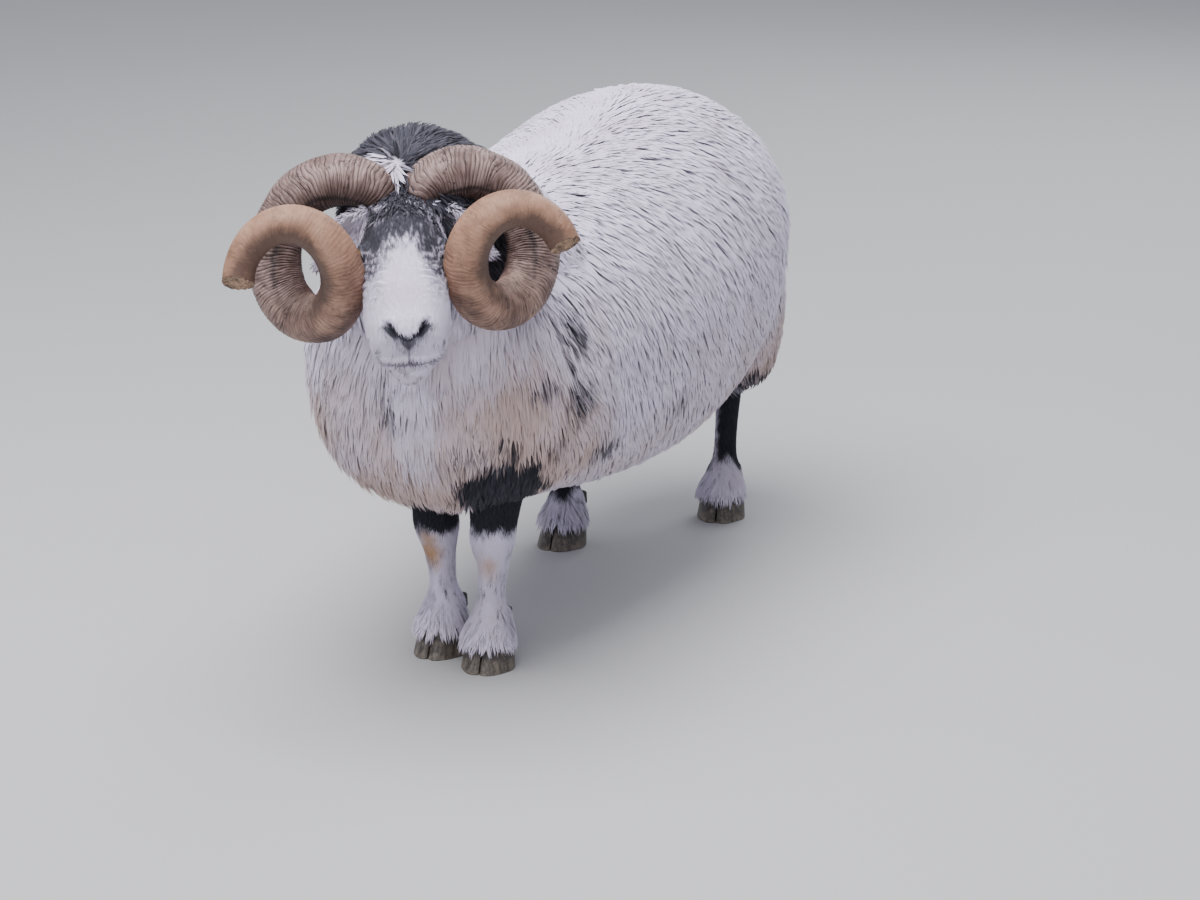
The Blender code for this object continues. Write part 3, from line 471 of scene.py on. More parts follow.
class Shader:
    """A material's nodes, written as expressions."""

    def __init__(self, name: str) -> None:
        """Start a material with one Principled shader."""
        self.material = bpy.data.materials.new(name)
        self.material.use_nodes = True
        self.nodes = self.material.node_tree.nodes
        self.links = self.material.node_tree.links
        self.principled = self.nodes["Principled BSDF"]

    def put(self, socket: bpy.types.NodeSocket, value: object) -> None:
        """Link or set one input."""
        if isinstance(value, Socket):
            self.links.new(value.socket, socket)
        elif isinstance(value, (tuple, list)) and len(value) == 3 and socket.type == "RGBA":
            socket.default_value = (*value, 1.0)
        else:
            socket.default_value = value

    def add(self, kind: str, settings: dict, inputs: dict, output: object = None) -> Socket:
        """Add one node.

        Args:
            kind: the node's type.
            settings: its settings, set before its sockets; "stops" fills a ramp.
            inputs: values or links, by socket name or index.
            output: the name or index of the output to give, or None for the first that works.

        Returns:
            The wrapped output.
        """
        node = self.nodes.new(kind)
        for name, value in settings.items():
            if name == "stops":
                self._fill_ramp(node.color_ramp, value)
            else:
                setattr(node, name, value)
        for name, value in inputs.items():
            self.put(node.inputs[name], value)
        if output is None:
            return Socket(self, next(out for out in node.outputs if out.enabled))
        return Socket(self, node.outputs[output])

    def _fill_ramp(self, colour_ramp: bpy.types.ColorRamp, stops: Sequence[tuple[float, tuple]]) -> None:
        """Set the stops of a colour ramp."""
        while len(colour_ramp.elements) < len(stops):
            colour_ramp.elements.new(1.0)
        for element, (place, colour) in zip(colour_ramp.elements, stops):
            element.position = place
            element.color = (*colour, 1.0)

    def place(self) -> Socket:
        """Where the shaded point is, in the object's own coordinates."""
        return self.add("ShaderNodeTexCoord", {}, {}, "Object")

    def parts(self, vector: Socket) -> tuple[Socket, Socket, Socket]:
        """The three numbers of a vector."""
        node = self.nodes.new("ShaderNodeSeparateXYZ")
        self.links.new(vector.socket, node.inputs[0])
        return tuple(Socket(self, out) for out in node.outputs)

    def joined(self, x: object, y: object, z: object) -> Socket:
        """A vector of three numbers."""
        return self.add("ShaderNodeCombineXYZ", {}, {"X": x, "Y": y, "Z": z})

    def mapped(self, vector: Socket, location: tuple, rotation: tuple, scale: tuple) -> Socket:
        """A vector centred, turned and scaled as a texture's coordinates."""
        inputs = {"Vector": vector, "Location": location, "Rotation": rotation, "Scale": scale}
        return self.add("ShaderNodeMapping", {"vector_type": "TEXTURE"}, inputs)

    def noise(self, vector: Socket, scale: float, detail: float = 3.0, rough: float = 0.5) -> Socket:
        """Fractal noise, around one half."""
        inputs = {"Vector": vector, "Scale": scale, "Detail": detail, "Roughness": rough}
        return self.add("ShaderNodeTexNoise", {}, inputs, 0)

    def mix(self, share: object, one: object, two: object, blend: str = "MIX") -> Socket:
        """Two colours mixed by a share."""
        settings = {"data_type": "RGBA", "blend_type": blend}
        return self.add("ShaderNodeMix", settings, {"Factor": share, 6: one, 7: two}, 2)

    def attribute(self, name: str) -> Socket:
        """A number stored at each point of the mesh."""
        return self.add("ShaderNodeAttribute", {"attribute_name": name}, {}, "Fac")

    def set(self, **inputs: object) -> None:
        """Set or link inputs of the Principled shader, their names with _ for a space."""
        for name, value in inputs.items():
            self.put(self.principled.inputs[name.replace("_", " ")], value)

    def bump(self, height: Socket, strength: float, distance: float) -> None:
        """Feed a height to the shader's normal."""
        inputs = {"Height": height, "Strength": strength, "Distance": distance}
        self.set(Normal=self.add("ShaderNodeBump", {}, inputs))


# Markings


@dataclass(frozen=True)
class Spot:
    """One blot of dark wool or hair."""

    centre: tuple[float, float, float]
    sizes: tuple[float, float, float]
    strength: float = 1.0
    soft: float = 0.72

    def over(self, points: np.ndarray, ragged: np.ndarray) -> np.ndarray:
        """How strongly the blot shows at each place, its edge moved by the noise."""
        away = np.linalg.norm((points - np.array(self.centre)) / np.array(self.sizes), axis=1)
        return self.strength * (1 - ramp(away + ragged, self.soft, 1.20))


# On the fleece, where the photo's blots fall
FLEECE_SPOTS = (
    Spot((0.167, -0.305, 0.476), (0.033, 0.030, 0.036), 0.74, 0.30),
    Spot((0.149, -0.350, 0.413), (0.024, 0.024, 0.022), 0.62, 0.30),
    Spot((0.176, -0.304, 0.389), (0.040, 0.040, 0.038), 0.76, 0.30),
    Spot((0.149, -0.327, 0.328), (0.024, 0.024, 0.018), 0.60, 0.30),
    Spot((0.166, -0.190, 0.300), (0.036, 0.036, 0.022), 0.85, 0.40),
    Spot((0.204, 0.007, 0.319), (0.026, 0.024, 0.024), 0.45, 0.20),
    Spot((-0.040, -0.408, 0.388), (0.012, 0.030, 0.044), 0.80, 0.30),
    Spot((0.019, -0.390, 0.316), (0.014, 0.024, 0.018), 0.30, 0.20),
    Spot((0.115, 0.530, 0.222), (0.080, 0.095, 0.062), 0.85, 0.35),
    Spot((-0.175, -0.240, 0.430), (0.034, 0.044, 0.038), 0.72, 0.30),
    Spot((-0.190, -0.140, 0.330), (0.028, 0.034, 0.028), 0.65, 0.30),
    Spot((-0.086, 0.318, 0.228), (0.066, 0.085, 0.046), 0.75, 0.40),
    Spot((0.088, -0.345, 0.262), (0.062, 0.090, 0.074), 1.0, 0.84),
    Spot((-0.046, -0.290, 0.205), (0.044, 0.070, 0.034), 1.0, 0.80),
)
# Where short wool takes the place of the chest's locks
ELBOW = Spot((0.098, -0.355, 0.300), (0.072, 0.100, 0.090), 1.0, 0.60)
LIGHT_BIB = Spot((-0.010, -0.440, 0.330), (0.040, 0.060, 0.120))
TAN_ON_KNEES = (
    Spot((-0.058, -0.254, 0.142), (0.020, 0.030, 0.034), 1.0, 0.30),
    Spot((0.040, -0.294, 0.144), (0.024, 0.030, 0.028), 0.80, 0.20),
)
# How far down the picture a place of the face lies, from its reach and its depth
FACE_LENGTHS = (466.0, 673.0)
BLAZE = ((36.0, 0.016), (50.0, 0.021), (65.0, 0.0245), (80.0, 0.030), (94.0, 0.075))
FOLD_SPACING = 8.0
EAR_ROOT = (0.044, -0.020, -0.031)
WHITE_ON_NAPE = Spot((-0.027, -0.437, 0.695), (0.018, 0.030, 0.016), 1.0, 0.85)
PARTING_POINT = np.array([-0.011, -0.309, 0.560])
PARTING_NORMAL = unit(np.array([0.0, -0.770, 0.640]))


def fleece_darkness(points: np.ndarray) -> np.ndarray:
    """Share of dark wool at each place on the body."""
    ragged = 0.30 * value_noise(points, 0.024, 5) + 0.16 * value_noise(points, 0.009, 6)
    dark = np.zeros(len(points))
    for spot in FLEECE_SPOTS:
        dark = np.maximum(dark, spot.over(points, ragged))
    ahead = (points - PARTING_POINT) @ PARTING_NORMAL
    collar = ramp(ahead + 0.030 * ragged, -0.004, 0.022)
    collar *= ramp(points[:, 2] + 0.05 * ragged, 0.50, 0.56)
    dark = np.maximum(dark, 0.97 * collar)
    return dark * (1 - 0.9 * WHITE_ON_NAPE.over(points, ragged))


def face_darkness(points: np.ndarray) -> np.ndarray:
    """Share of dark hair at each place on the head: dark poll and sides, a white blaze and muzzle, and
    painted shade in the folds low on the muzzle.
    """
    local = in_head(points)
    x, y, z = local.T
    streak = value_noise(local * np.array([1.0, 0.20, 0.40]), 0.0022, 7)
    broad = value_noise(points, 0.016, 8)
    down = FACE_LENGTHS[0] * -y - FACE_LENGTHS[1] * z
    half = np.interp(down, *zip(*BLAZE))
    ragged = 0.0065 * streak + 0.0045 * broad
    blaze = ramp(half - np.abs(x) + ragged, -0.0090, 0.0090)
    blaze *= ramp(down + 13.0 * streak + 6.0 * broad, 35.0, 64.0)
    muzzle = ramp(down + 8.0 * streak + 8.0 * broad, 74.0, 104.0)
    folds = np.sin(2 * math.pi * (down + 5.0 * broad) / FOLD_SPACING + 1.5 * streak)
    dark = 0.97 * (1 - blaze) * (1 - muzzle)
    dark *= 1 - 0.85 * ramp(folds, -0.1, 0.8) * ramp(down, 52.0, 66.0)
    # painted shade: grey lines in the troughs of the carved wrinkles on the white muzzle
    fold_shade = 0.55 * ramp(-folds, 0.1, 0.8) * ramp(np.abs(x), 0.020, 0.040) * bell(down - 94.0, 15.0)
    dark = np.maximum(dark, fold_shade)
    frost = ramp(streak + 0.6 * broad, 0.15, 0.95) * ramp(down, -25.0, 15.0)
    dark *= 1 - 0.30 * frost
    ear_root = np.abs(local) * np.array([1, 0, 0]) + local * np.array([0, 1, 1]) - np.array(EAR_ROOT)
    from_ear = np.linalg.norm(ear_root, axis=1) + 0.004 * streak
    dark *= 1 - (1 - ramp(from_ear, 0.019, 0.033)) * ramp(np.abs(x), 0.038, 0.048)
    mottled = ramp(value_noise(points, 0.0065, 9) + 0.6 * streak, -0.05, 0.75)
    lip = ramp(-z, 0.046, 0.062) * ramp(-y, 0.185, 0.225)
    dark = np.maximum(dark, 0.52 * mottled * lip)
    return np.maximum(dark, Nose.darkness(x, y, z))


def leg_darkness(points: np.ndarray, zone: Zone) -> np.ndarray:
    """Share of dark hair at each place on one leg."""
    height = points[:, 2]
    broad = value_noise(points, 0.020, 10)
    fine = value_noise(points, 0.007, 11)
    fleck = value_noise(points * np.array([1.0, 1.0, 0.40]), 0.0034, 18)
    mottled = 0.45 * ramp(broad + 0.5 * fine, 0.15, 0.8)
    mottled = np.maximum(mottled, 0.95 * ramp(fleck + 0.5 * broad, 0.12, 0.60) * bell(height - 0.090, 0.045))
    if zone in (Zone.HIND_LEFT, Zone.HIND_RIGHT):
        band = ramp(height + 0.016 * broad + 0.006 * fine, 0.066, 0.088)
        strip = bell(points[:, 0] - (0.070 if zone is Zone.HIND_LEFT else -0.060) + 0.004 * fine, 0.0040)
        return np.maximum(band * (1 - 0.8 * strip), 0.8 * mottled)
    edge = 0.176 if zone is Zone.FORE_RIGHT else 0.188
    band = ramp(height + 0.008 * broad + 0.005 * fine, edge - 0.008, edge + 0.006)
    low = 0.35 * ramp(0.060 - height, 0, 0.03) * ramp(fine + broad, 0, 0.8)
    return np.maximum(np.maximum(band, 0.6 * mottled), low)


def dirt_and_low_shade(points: np.ndarray) -> np.ndarray:
    """Share of tan at each place: dirt and grease on the coat, and painted shade low on the body, where less
    of the light from above reaches.
    """
    broad = value_noise(points, 0.06, 12)
    fine = value_noise(points, 0.012, 13)
    # painted shade: tan rising towards the lower body for the shade there, on top of the dirt low on the coat
    low = ramp(0.46 - points[:, 2], 0.0, 0.26)
    front = ramp(-0.20 - points[:, 1], 0.0, 0.16) * ramp(0.50 - points[:, 2], 0.0, 0.12)
    seat = ramp(points[:, 1], 0.42, 0.55) * ramp(0.52 - points[:, 2], 0.0, 0.2)
    shoulder = ramp(-0.16 - points[:, 1], 0.0, 0.10) * ramp(points[:, 0], 0.06, 0.13)
    shoulder *= ramp(0.58 - points[:, 2], 0.0, 0.2)
    share = 0.52 * low + 0.40 * front + 0.42 * seat + 0.30 * shoulder
    share *= 1 - 0.75 * bell(points[:, 1] + 0.165 + 0.02 * broad, 0.034) * ramp(points[:, 2], 0.26, 0.36)
    share *= 1 - 0.60 * LIGHT_BIB.over(points, 0.3 * broad)
    coat = np.clip(share * (1 + 0.6 * broad + 0.35 * fine), 0, 1) * ramp(points[:, 2], 0.20, 0.24)
    for patch in TAN_ON_KNEES:
        coat = np.maximum(coat, patch.over(points, 0.3 * broad + 0.2 * fine))
    return coat


class Nose:
    """The shapes of the muzzle in the head's frame: nostrils, groove and mouth."""

    NOSTRIL = np.array([0.0225, -0.2420, -0.0365])
    SLANT = math.radians(30)
    GROOVE_TOP = -0.050
    MOUTH_TOP = -0.0805
    MOUTH_FRONT = -0.247
    MOUTH_CORNER = -0.186

    @classmethod
    def slit(cls, x: np.ndarray, z: np.ndarray) -> tuple[np.ndarray, np.ndarray]:
        """Along and across the comma of the nearer nostril."""
        across, up = np.abs(x) - cls.NOSTRIL[0], z - cls.NOSTRIL[2]
        along = across * math.cos(cls.SLANT) + up * math.sin(cls.SLANT)
        over = -across * math.sin(cls.SLANT) + up * math.cos(cls.SLANT)
        return along, over + 22.0 * along**2 - 0.001

    @classmethod
    def mouth(cls, y: np.ndarray, z: np.ndarray) -> np.ndarray:
        """Height above the line between the lips, which droops towards its corners."""
        back = np.clip((y - cls.MOUTH_FRONT) / (cls.MOUTH_CORNER - cls.MOUTH_FRONT), 0, 1.2)
        return z - (cls.MOUTH_TOP - 0.016 * back + 0.006 * np.sin(back * math.pi))

    @classmethod
    def darkness(cls, x: np.ndarray, y: np.ndarray, z: np.ndarray) -> np.ndarray:
        """Share of bare dark skin round the nostrils, in the groove and along the lips."""
        front = ramp(-y, 0.216, 0.230)
        along, over = cls.slit(x, z)
        nostril = 1.15 * bell(along, 0.0165) * bell(over, 0.0058)
        nostril += 0.34 * bell(along, 0.024) * bell(over, 0.0150)
        arm_height = cls.GROOVE_TOP + 0.0030 + 0.52 * np.abs(x)
        arm = 1.1 * bell(z - arm_height, 0.0056) * ramp(0.026 - np.abs(x), -0.005, 0.003)
        pad_half = 0.0105 * ramp(z, -0.066, -0.046)
        pad = 0.92 * ramp(pad_half - np.abs(x), -0.0045, 0.0030) * ramp(-0.040 - z, -0.004, 0.004)
        pad *= ramp(z, -0.070, -0.061)
        stem = 0.55 * bell(x, 0.0016) * ramp(z, cls.MOUTH_TOP, cls.MOUTH_TOP + 0.004)
        stem *= ramp(cls.GROOVE_TOP - z, 0, 0.004)
        middle = 0.18 + 0.67 * ramp(0.024 - np.abs(x), -0.010, 0.010)
        lips = 0.85 * bell(cls.mouth(y, z), 0.0030) * ramp(-y, 0.196, 0.215) * middle
        shade = np.maximum(np.maximum(nostril, arm), np.maximum(pad, stem))
        return np.clip(shade * front + lips, 0, 1)


@dataclass
class EyeShape:
    """One eye's place and opening, in the head's frame, for the left side."""

    centre: tuple[float, float, float] = (0.0415, -0.082, -0.034)
    radius: float = 0.0150
    outward: tuple[float, float, float] = (0.90, -0.34, 0.26)
    towards_nose: tuple[float, float, float] = (0.0, -0.93, -0.36)
    half_length: float = 0.92
    half_height: float = 0.46
    lid: float = 0.0018

    def axes(self, side: int) -> tuple[np.ndarray, np.ndarray, np.ndarray]:
        """Outwards, towards the nose, and up the face, for one side."""
        mirror = np.array([side, 1, 1])
        out = unit(np.array(self.outward)) * mirror
        nose = np.array(self.towards_nose) * mirror
        nose = unit(nose - out * nose.dot(out))
        rise = np.cross(out, nose)
        return out, nose, rise if rise[2] > 0 else -rise

    def middle(self, side: int) -> np.ndarray:
        """The eye's centre for one side."""
        return np.array(self.centre) * np.array([side, 1, 1])


EYE = EyeShape()


@dataclass
class Hide:
    """One closed skin over the whole body, inside the wool by the coat's depth."""

    voxel: float = 0.0024
    wool_depth: dict = field(default_factory=lambda: {
        Zone.TRUNK: 0.008, Zone.BREECH: 0.008, Zone.NECK: 0.008, Zone.NAPE: 0.008, Zone.TAIL: 0.006,
    })
    hair_depth: float = 0.0015
    ear_root: tuple = EAR_ROOT
    ear_direction: tuple = (0.80, -0.28, -0.52)
    ear_facing: tuple = (0.30, -0.93, 0.05)
    ear_length: float = 0.079
    ear_half_width: float = 0.027
    ear_cup: float = 0.012
    ear_thickness: float = 0.0050
    share_kept: float = 0.16
    jaw_start: float = 0.35
    tree: KDTree | None = None
    labels: list = field(default_factory=list)
    obj: bpy.types.Object | None = None
    zones: np.ndarray | None = None

    def forms(self) -> list[tuple[Zone, np.ndarray]]:
        """Rings of every form of the body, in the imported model's frame."""
        depth = self.wool_depth
        found = [
            (Zone.TRUNK, trunk_rings(96, 110, depth[Zone.TRUNK]) - STAND_POINT),
            (Zone.NECK, path_rings(NECK_STATIONS, 72, 44, depth[Zone.NECK]) - STAND_POINT),
            (Zone.BREECH, level_rings(BREECH_LEFT, 56, 44, depth[Zone.BREECH]) - STAND_POINT),
            (Zone.BREECH, level_rings(BREECH_RIGHT, 56, 44, depth[Zone.BREECH]) - STAND_POINT),
            (Zone.NAPE, self.nape_rings(48, 28) - STAND_POINT),
            (Zone.TAIL, path_rings(TAIL_STATIONS, 32, 40, depth[Zone.TAIL]) - STAND_POINT),
            (Zone.HEAD, self.head_rings(112, 120)),
        ]
        for foot, zone in LEGS.items():
            found.append((zone, self.leg_rings(foot, 56, 110) - STAND_POINT))
        for side, zone in ((1, Zone.EAR_LEFT), (-1, Zone.EAR_RIGHT)):
            found.append((zone, self.ear_rings(side, 40)))
        return found

    def nape_rings(self, sides: int, count: int) -> np.ndarray:
        """Level rings of the crest of wool behind the poll."""
        sizes = np.array(NAPE_SIZES) - self.wool_depth[Zone.NAPE]
        rings = []
        for up in np.linspace(-0.99, 0.99, count):
            flat = math.sqrt(1 - up * up)
            turn = np.arange(sides) * 2 * math.pi / sides
            ring = np.column_stack([np.cos(turn) * flat, np.sin(turn) * flat, np.full(sides, up)])
            rings.append(ring * sizes + np.array(NAPE_CENTRE))
        return np.array(rings)

    def leg_rings(self, foot: str, sides: int, count: int) -> np.ndarray:
        """Rings of one leg, with the cannon's flat sides and the knee's or hock's bulge."""
        x, y, _ = FEET[foot]
        side = 1 if foot.endswith("left") else -1
        table = FORE_LEG if foot.startswith("fore") else HIND_LEG
        rows = [(x + side * out, y + back, z, wide, long) for z, out, back, wide, long in table]
        return level_rings(rows, sides, count, self.hair_depth)

    def head_rings(self, sides: int, count: int) -> np.ndarray:
        """Rings down the face, wide at the eyes and narrow at the jaw."""
        across, up = oval(sides, 2.3)
        jaw = (np.clip(self.jaw_start - up, 0, None) / (self.jaw_start + 1)) ** 1.1
        rings = []
        for y, top, low, wide, narrow in smoothed(HEAD_STATIONS, count):
            half = wide + (narrow - wide) * jaw - self.hair_depth
            tall = (top - low) / 2 - self.hair_depth
            ring = [across * half, np.full(sides, y + self.hair_depth * 0.5), (top + low) / 2 + up * tall]
            rings.append(on_head(np.column_stack(ring)))
        return np.array(rings)

    def ear_width(self, s: float) -> float:
        """Half width along the ear, as a share of the widest."""
        if s < 0.35:
            return 0.50 + 0.50 * math.sin(math.pi / 2 * (s + 0.22) / 0.57)
        return max(math.cos(math.pi / 2 * (s - 0.35) / 0.66) ** 0.8, 0.10)

    def ear_rings(self, side: int, count: int) -> np.ndarray:
        """Crescent rings from the root to the tip of one ear, hollow towards the front."""
        along = unit(np.array(self.ear_direction))
        facing = np.array(self.ear_facing)
        facing = unit(facing - along * facing.dot(along))
        across = np.cross(along, facing)
        rings = []
        for s in np.linspace(-0.22, 1.0, count):
            width = self.ear_half_width * self.ear_width(s)
            cup = self.ear_cup * self.ear_width(s) ** 1.5
            thick = self.ear_thickness * (1.5 - 0.7 * max(s, 0))
            centre = np.array(self.ear_root) + along * self.ear_length * s
            back, front = np.linspace(-1, 1, 17), np.linspace(0.90, -0.90, 15)
            ring = [centre + across * width * v + facing * (-cup * (1 - v * v) - thick / 2) for v in back]
            ring += [centre + across * width * v + facing * (-cup * (1 - v * v) + thick / 2) for v in front]
            rings.append(on_head(np.array(ring) * np.array([side, 1, 1])))
        return np.array(rings)

    def build(self) -> bpy.types.Object:
        """Join the forms into one skin, refine and carve the head, and mark its zones."""
        forms = self.forms()
        shells = [lofted(f"form_{index}", rings) for index, (_, rings) in enumerate(forms)]
        for side in (1, -1):
            shells.append(self.eye_bulge(side))
        self.remember(forms)
        make_active(shells[0])
        for shell in shells:
            shell.select_set(True)
        bpy.ops.object.join()
        self.obj = shells[0]
        self.obj.name = self.obj.data.name = "hide"
        apply_modifier(self.obj, "REMESH", mode="VOXEL", voxel_size=self.voxel)
        apply_modifier(self.obj, "SMOOTH", factor=0.5, iterations=4)
        self.thin_under_wool()
        self.refine()
        self.carve()
        self.zones = self.zone_of(coordinates(self.obj))
        make_active(self.obj)
        bpy.ops.object.shade_smooth()
        return self.obj

    def eye_bulge(self, side: int) -> bpy.types.Object:
        """A ball a little larger than the eye, so that the lids have skin to lie on."""
        place = on_head(EYE.middle(side)[None])[0]
        deselect_all()
        bpy.ops.mesh.primitive_uv_sphere_add(segments=32, ring_count=16, radius=EYE.radius + EYE.lid)
        ball = bpy.context.object
        ball.data.transform(Matrix.Translation(place))
        return ball

    def remember(self, forms: list[tuple[Zone, np.ndarray]]) -> None:
        """Keep the forms' points with their zones, to tell where a place of the skin belongs."""
        total = sum(rings.shape[0] * rings.shape[1] for _, rings in forms)
        self.tree = KDTree(total)
        for zone, rings in forms:
            for point in rings.reshape(-1, 3):
                self.tree.insert(point, len(self.labels))
                self.labels.append(zone.value)
        self.tree.balance()

    def zone_of(self, points: np.ndarray) -> np.ndarray:
        """The zone's number for each place."""
        return np.array([self.labels[self.tree.find(point)[1]] for point in points])

    def thin_under_wool(self) -> None:
        """Use larger faces where wool covers the skin."""
        zones = self.zone_of(coordinates(self.obj))
        woolly = np.isin(zones, [zone.value for zone in WOOLLY])
        group = self.obj.vertex_groups.new(name="woolly")
        group.add(np.flatnonzero(woolly).tolist(), 1.0, "REPLACE")
        settings = {"ratio": self.share_kept, "vertex_group": "woolly", "vertex_group_factor": 10.0}
        apply_modifier(self.obj, "DECIMATE", **settings)

    def refine(self) -> None:
        """Split the faces round the eyes, nostrils and lips."""
        local = in_head(coordinates(self.obj))
        near = np.zeros(len(local), bool)
        for side in (1, -1):
            near |= np.linalg.norm(local - EYE.middle(side), axis=1) < 0.026
        near |= (local[:, 1] < -0.205) & (local[:, 2] > -0.125)
        near &= np.isin(self.zone_of(coordinates(self.obj)), [Zone.HEAD.value])
        data = self.obj.data
        make_active(self.obj)
        bpy.ops.object.mode_set(mode="EDIT")
        bpy.ops.mesh.select_all(action="DESELECT")
        bpy.ops.object.mode_set(mode="OBJECT")
        data.vertices.foreach_set("select", near)
        faces = [all(near[i] for i in face.vertices) for face in data.polygons]
        data.polygons.foreach_set("select", faces)
        bpy.ops.object.mode_set(mode="EDIT")
        bpy.ops.mesh.select_mode(type="FACE")
        bpy.ops.mesh.subdivide(number_cuts=1)
        bpy.ops.mesh.quads_convert_to_tris()
        bpy.ops.object.mode_set(mode="OBJECT")

    def carve(self) -> None:
        """Move the points of the head into lids, nostrils, lips, folds and wrinkles."""
        points = coordinates(self.obj)
        normals = point_normals(self.obj)
        head = np.flatnonzero(self.zone_of(points) == Zone.HEAD.value)
        local = in_head(points[head])
        inward = -(normals[head] @ HEAD_BACK[:3, :3].T)
        local = local + inward * self.face_depth(local)[:, None]
        for side in (1, -1):
            local = self.lids(local, side)
        points[head] = on_head(local)
        put_coordinates(self.obj, points)

    def face_depth(self, local: np.ndarray) -> np.ndarray:
        """How far each place of the head goes in, negative where it stands out."""
        x, y, z = local.T
        reach = -y
        front = ramp(reach, 0.214, 0.232)
        along, over = Nose.slit(x, z)
        nostril = np.exp(-((along / 0.0112) ** 4)) * bell(over, 0.0028)
        wing = bell(along - 0.002, 0.0135) * bell(over - 0.0062, 0.0038)
        depth = front * (0.0078 * nostril - 0.0022 * wing)
        arm = bell(z - (Nose.GROOVE_TOP + 0.0045 + 0.45 * np.abs(x)), 0.0017)
        depth += front * 0.0016 * arm * ramp(0.022 - np.abs(x), -0.003, 0.003)
        stem = bell(x, 0.0014) * ramp(z, Nose.MOUTH_TOP - 0.002, Nose.MOUTH_TOP + 0.003)
        depth += front * 0.0024 * stem * ramp(Nose.GROOVE_TOP + 0.006 - z, 0, 0.004)
        height = Nose.mouth(y, z)
        lips = ramp(reach, 0.182, 0.196)
        depth += lips * 0.0048 * bell(height, 0.0016)
        depth -= lips * (0.0020 * bell(height - 0.0062, 0.0042) + 0.0015 * bell(height + 0.0058, 0.0036))
        depth += 0.0020 * bell(height + 0.0150, 0.0050) * ramp(reach, 0.212, 0.232)
        depth -= 0.0034 * bell(z + 0.119, 0.012) * bell(reach - 0.226, 0.016)
        flank = ramp(np.abs(x), 0.030, 0.046)
        depth += 0.0036 * flank * bell(reach - 0.140, 0.028) * bell(z + 0.066, 0.024)
        depth -= 0.0030 * flank * bell(reach - 0.020, 0.034) * bell(z + 0.088, 0.028)
        depth -= 0.0022 * flank * bell(reach - 0.112, 0.024) * bell(z + 0.030, 0.010)
        side = ramp(np.abs(x), 0.016, 0.034) * ramp(z, -0.095, -0.060)
        down = FACE_LENGTHS[0] * reach - FACE_LENGTHS[1] * z
        broad = value_noise(on_head(local), 0.016, 8)
        ripple = np.sin(2 * math.pi * (down + 5.0 * broad) / FOLD_SPACING) * (0.7 + 0.6 * broad)
        depth -= 0.0019 * ripple * side * bell(down - 78.0, 17.0)
        brow = bell(reach - 0.062, 0.020) * bell(np.abs(x) - 0.046, 0.014)
        depth -= 0.0028 * brow * ramp(z, -0.025, -0.005)
        depth += 0.0014 * bell(np.abs(x), 0.010) * bell(reach - 0.075, 0.030) * ramp(z, -0.02, 0.0)
        return depth

    def lids(self, local: np.ndarray, side: int) -> np.ndarray:
        """Draw the skin round one eye into an upper and a lower lid, open between them."""
        centre = EYE.middle(side)
        out, nose, rise = EYE.axes(side)
        away = local - centre
        radius = np.linalg.norm(away, axis=1)
        outwards, ahead, above = away @ out, away @ nose, away @ rise
        near = (radius < 0.030) & (outwards > 0)
        level = np.arctan2(ahead, outwards)
        height = np.arctan2(above, outwards) + 0.10 * level
        half = EYE.half_height * np.clip(1 - (np.abs(level) / EYE.half_length) ** 2.2, 0, None)
        half = np.where(height > 0, half * 1.12, half * 0.86)
        edge = np.abs(height) - half
        lid = EYE.radius + EYE.lid + 0.0010 * bell(edge - 0.08, 0.07)
        lid -= 0.0011 * bell(edge - 0.34, 0.06) * np.where(height > 0, 1.3, 0.8)
        lid -= 0.0006 * bell(edge - 0.56, 0.05)
        fade = ramp(edge, 0.30, 1.00)
        wanted = np.where(edge < 0, EYE.radius - 0.0024, lid * (1 - fade) + np.maximum(radius, lid) * fade)
        wanted = np.where(edge < 0, wanted, np.maximum(wanted, radius * fade + wanted * (1 - fade)))
        moved = centre + away / np.maximum(radius, 1e-6)[:, None] * wanted[:, None]
        return np.where(near[:, None], moved, local)


# Finishes

Colour = tuple[float, float, float]


@dataclass(frozen=True)
class Coat:
    """Wool or hair, coloured by the numbers stored on its tufts and on the hide."""

    name: str
    pale: Colour = (0.78, 0.725, 0.90)
    pale_dull: Colour = (0.60, 0.530, 0.615)
    tan: Colour = (0.55, 0.33, 0.19)
    black: Colour = (0.007, 0.007, 0.011)
    black_dull: Colour = (0.030, 0.031, 0.044)
    root_shade: float = 0.94
    roughness: float = 0.92
    sheen: float = 0.07
    grain: float = 0.0
    grain_size: float = 900.0

    def material(self) -> bpy.types.Material:
        """Build the finish.

        Returns:
            The material, its colour mixed from dark, tan, tone and along.
        """
        shader = Shader(self.name)
        dark, tan = shader.attribute("dark"), shader.attribute("tan")
        tone, along = shader.attribute("tone"), shader.attribute("along")
        where = shader.place()
        cloud = shader.noise(where, 14.0, 4.0, 0.6)
        dull = (tone * 0.16 + (cloud - 0.42) * 2.6).least(1.0).most(0.0)
        pale = shader.mix(dull, self.pale, self.pale_dull)
        pale = shader.mix((tan * (0.6 + cloud * 0.8)).least(1.0), pale, self.tan)
        shade = along * (1 - self.root_shade) + self.root_shade
        pale = self.shaded(shader, pale, shade)
        black = shader.mix(tone, self.black, self.black_dull)
        shader.set(Base_Color=shader.mix(dark, pale, black), Roughness=self.roughness)
        shader.set(Sheen_Weight=self.sheen, Sheen_Roughness=0.6, Specular_IOR_Level=0.2)
        if self.grain:
            height = shader.noise(where, self.grain_size, 4.0, 0.65)
            shader.bump(height, self.grain, 0.0008)
        return shader.material

    @staticmethod
    def shaded(shader: Shader, colour: Socket, share: Socket) -> Socket:
        """The colour times a share, by a Mix node."""
        grey = shader.add("ShaderNodeCombineColor", {}, {"Red": share, "Green": share, "Blue": share})
        return shader.mix(1.0, colour, grey, "MULTIPLY")


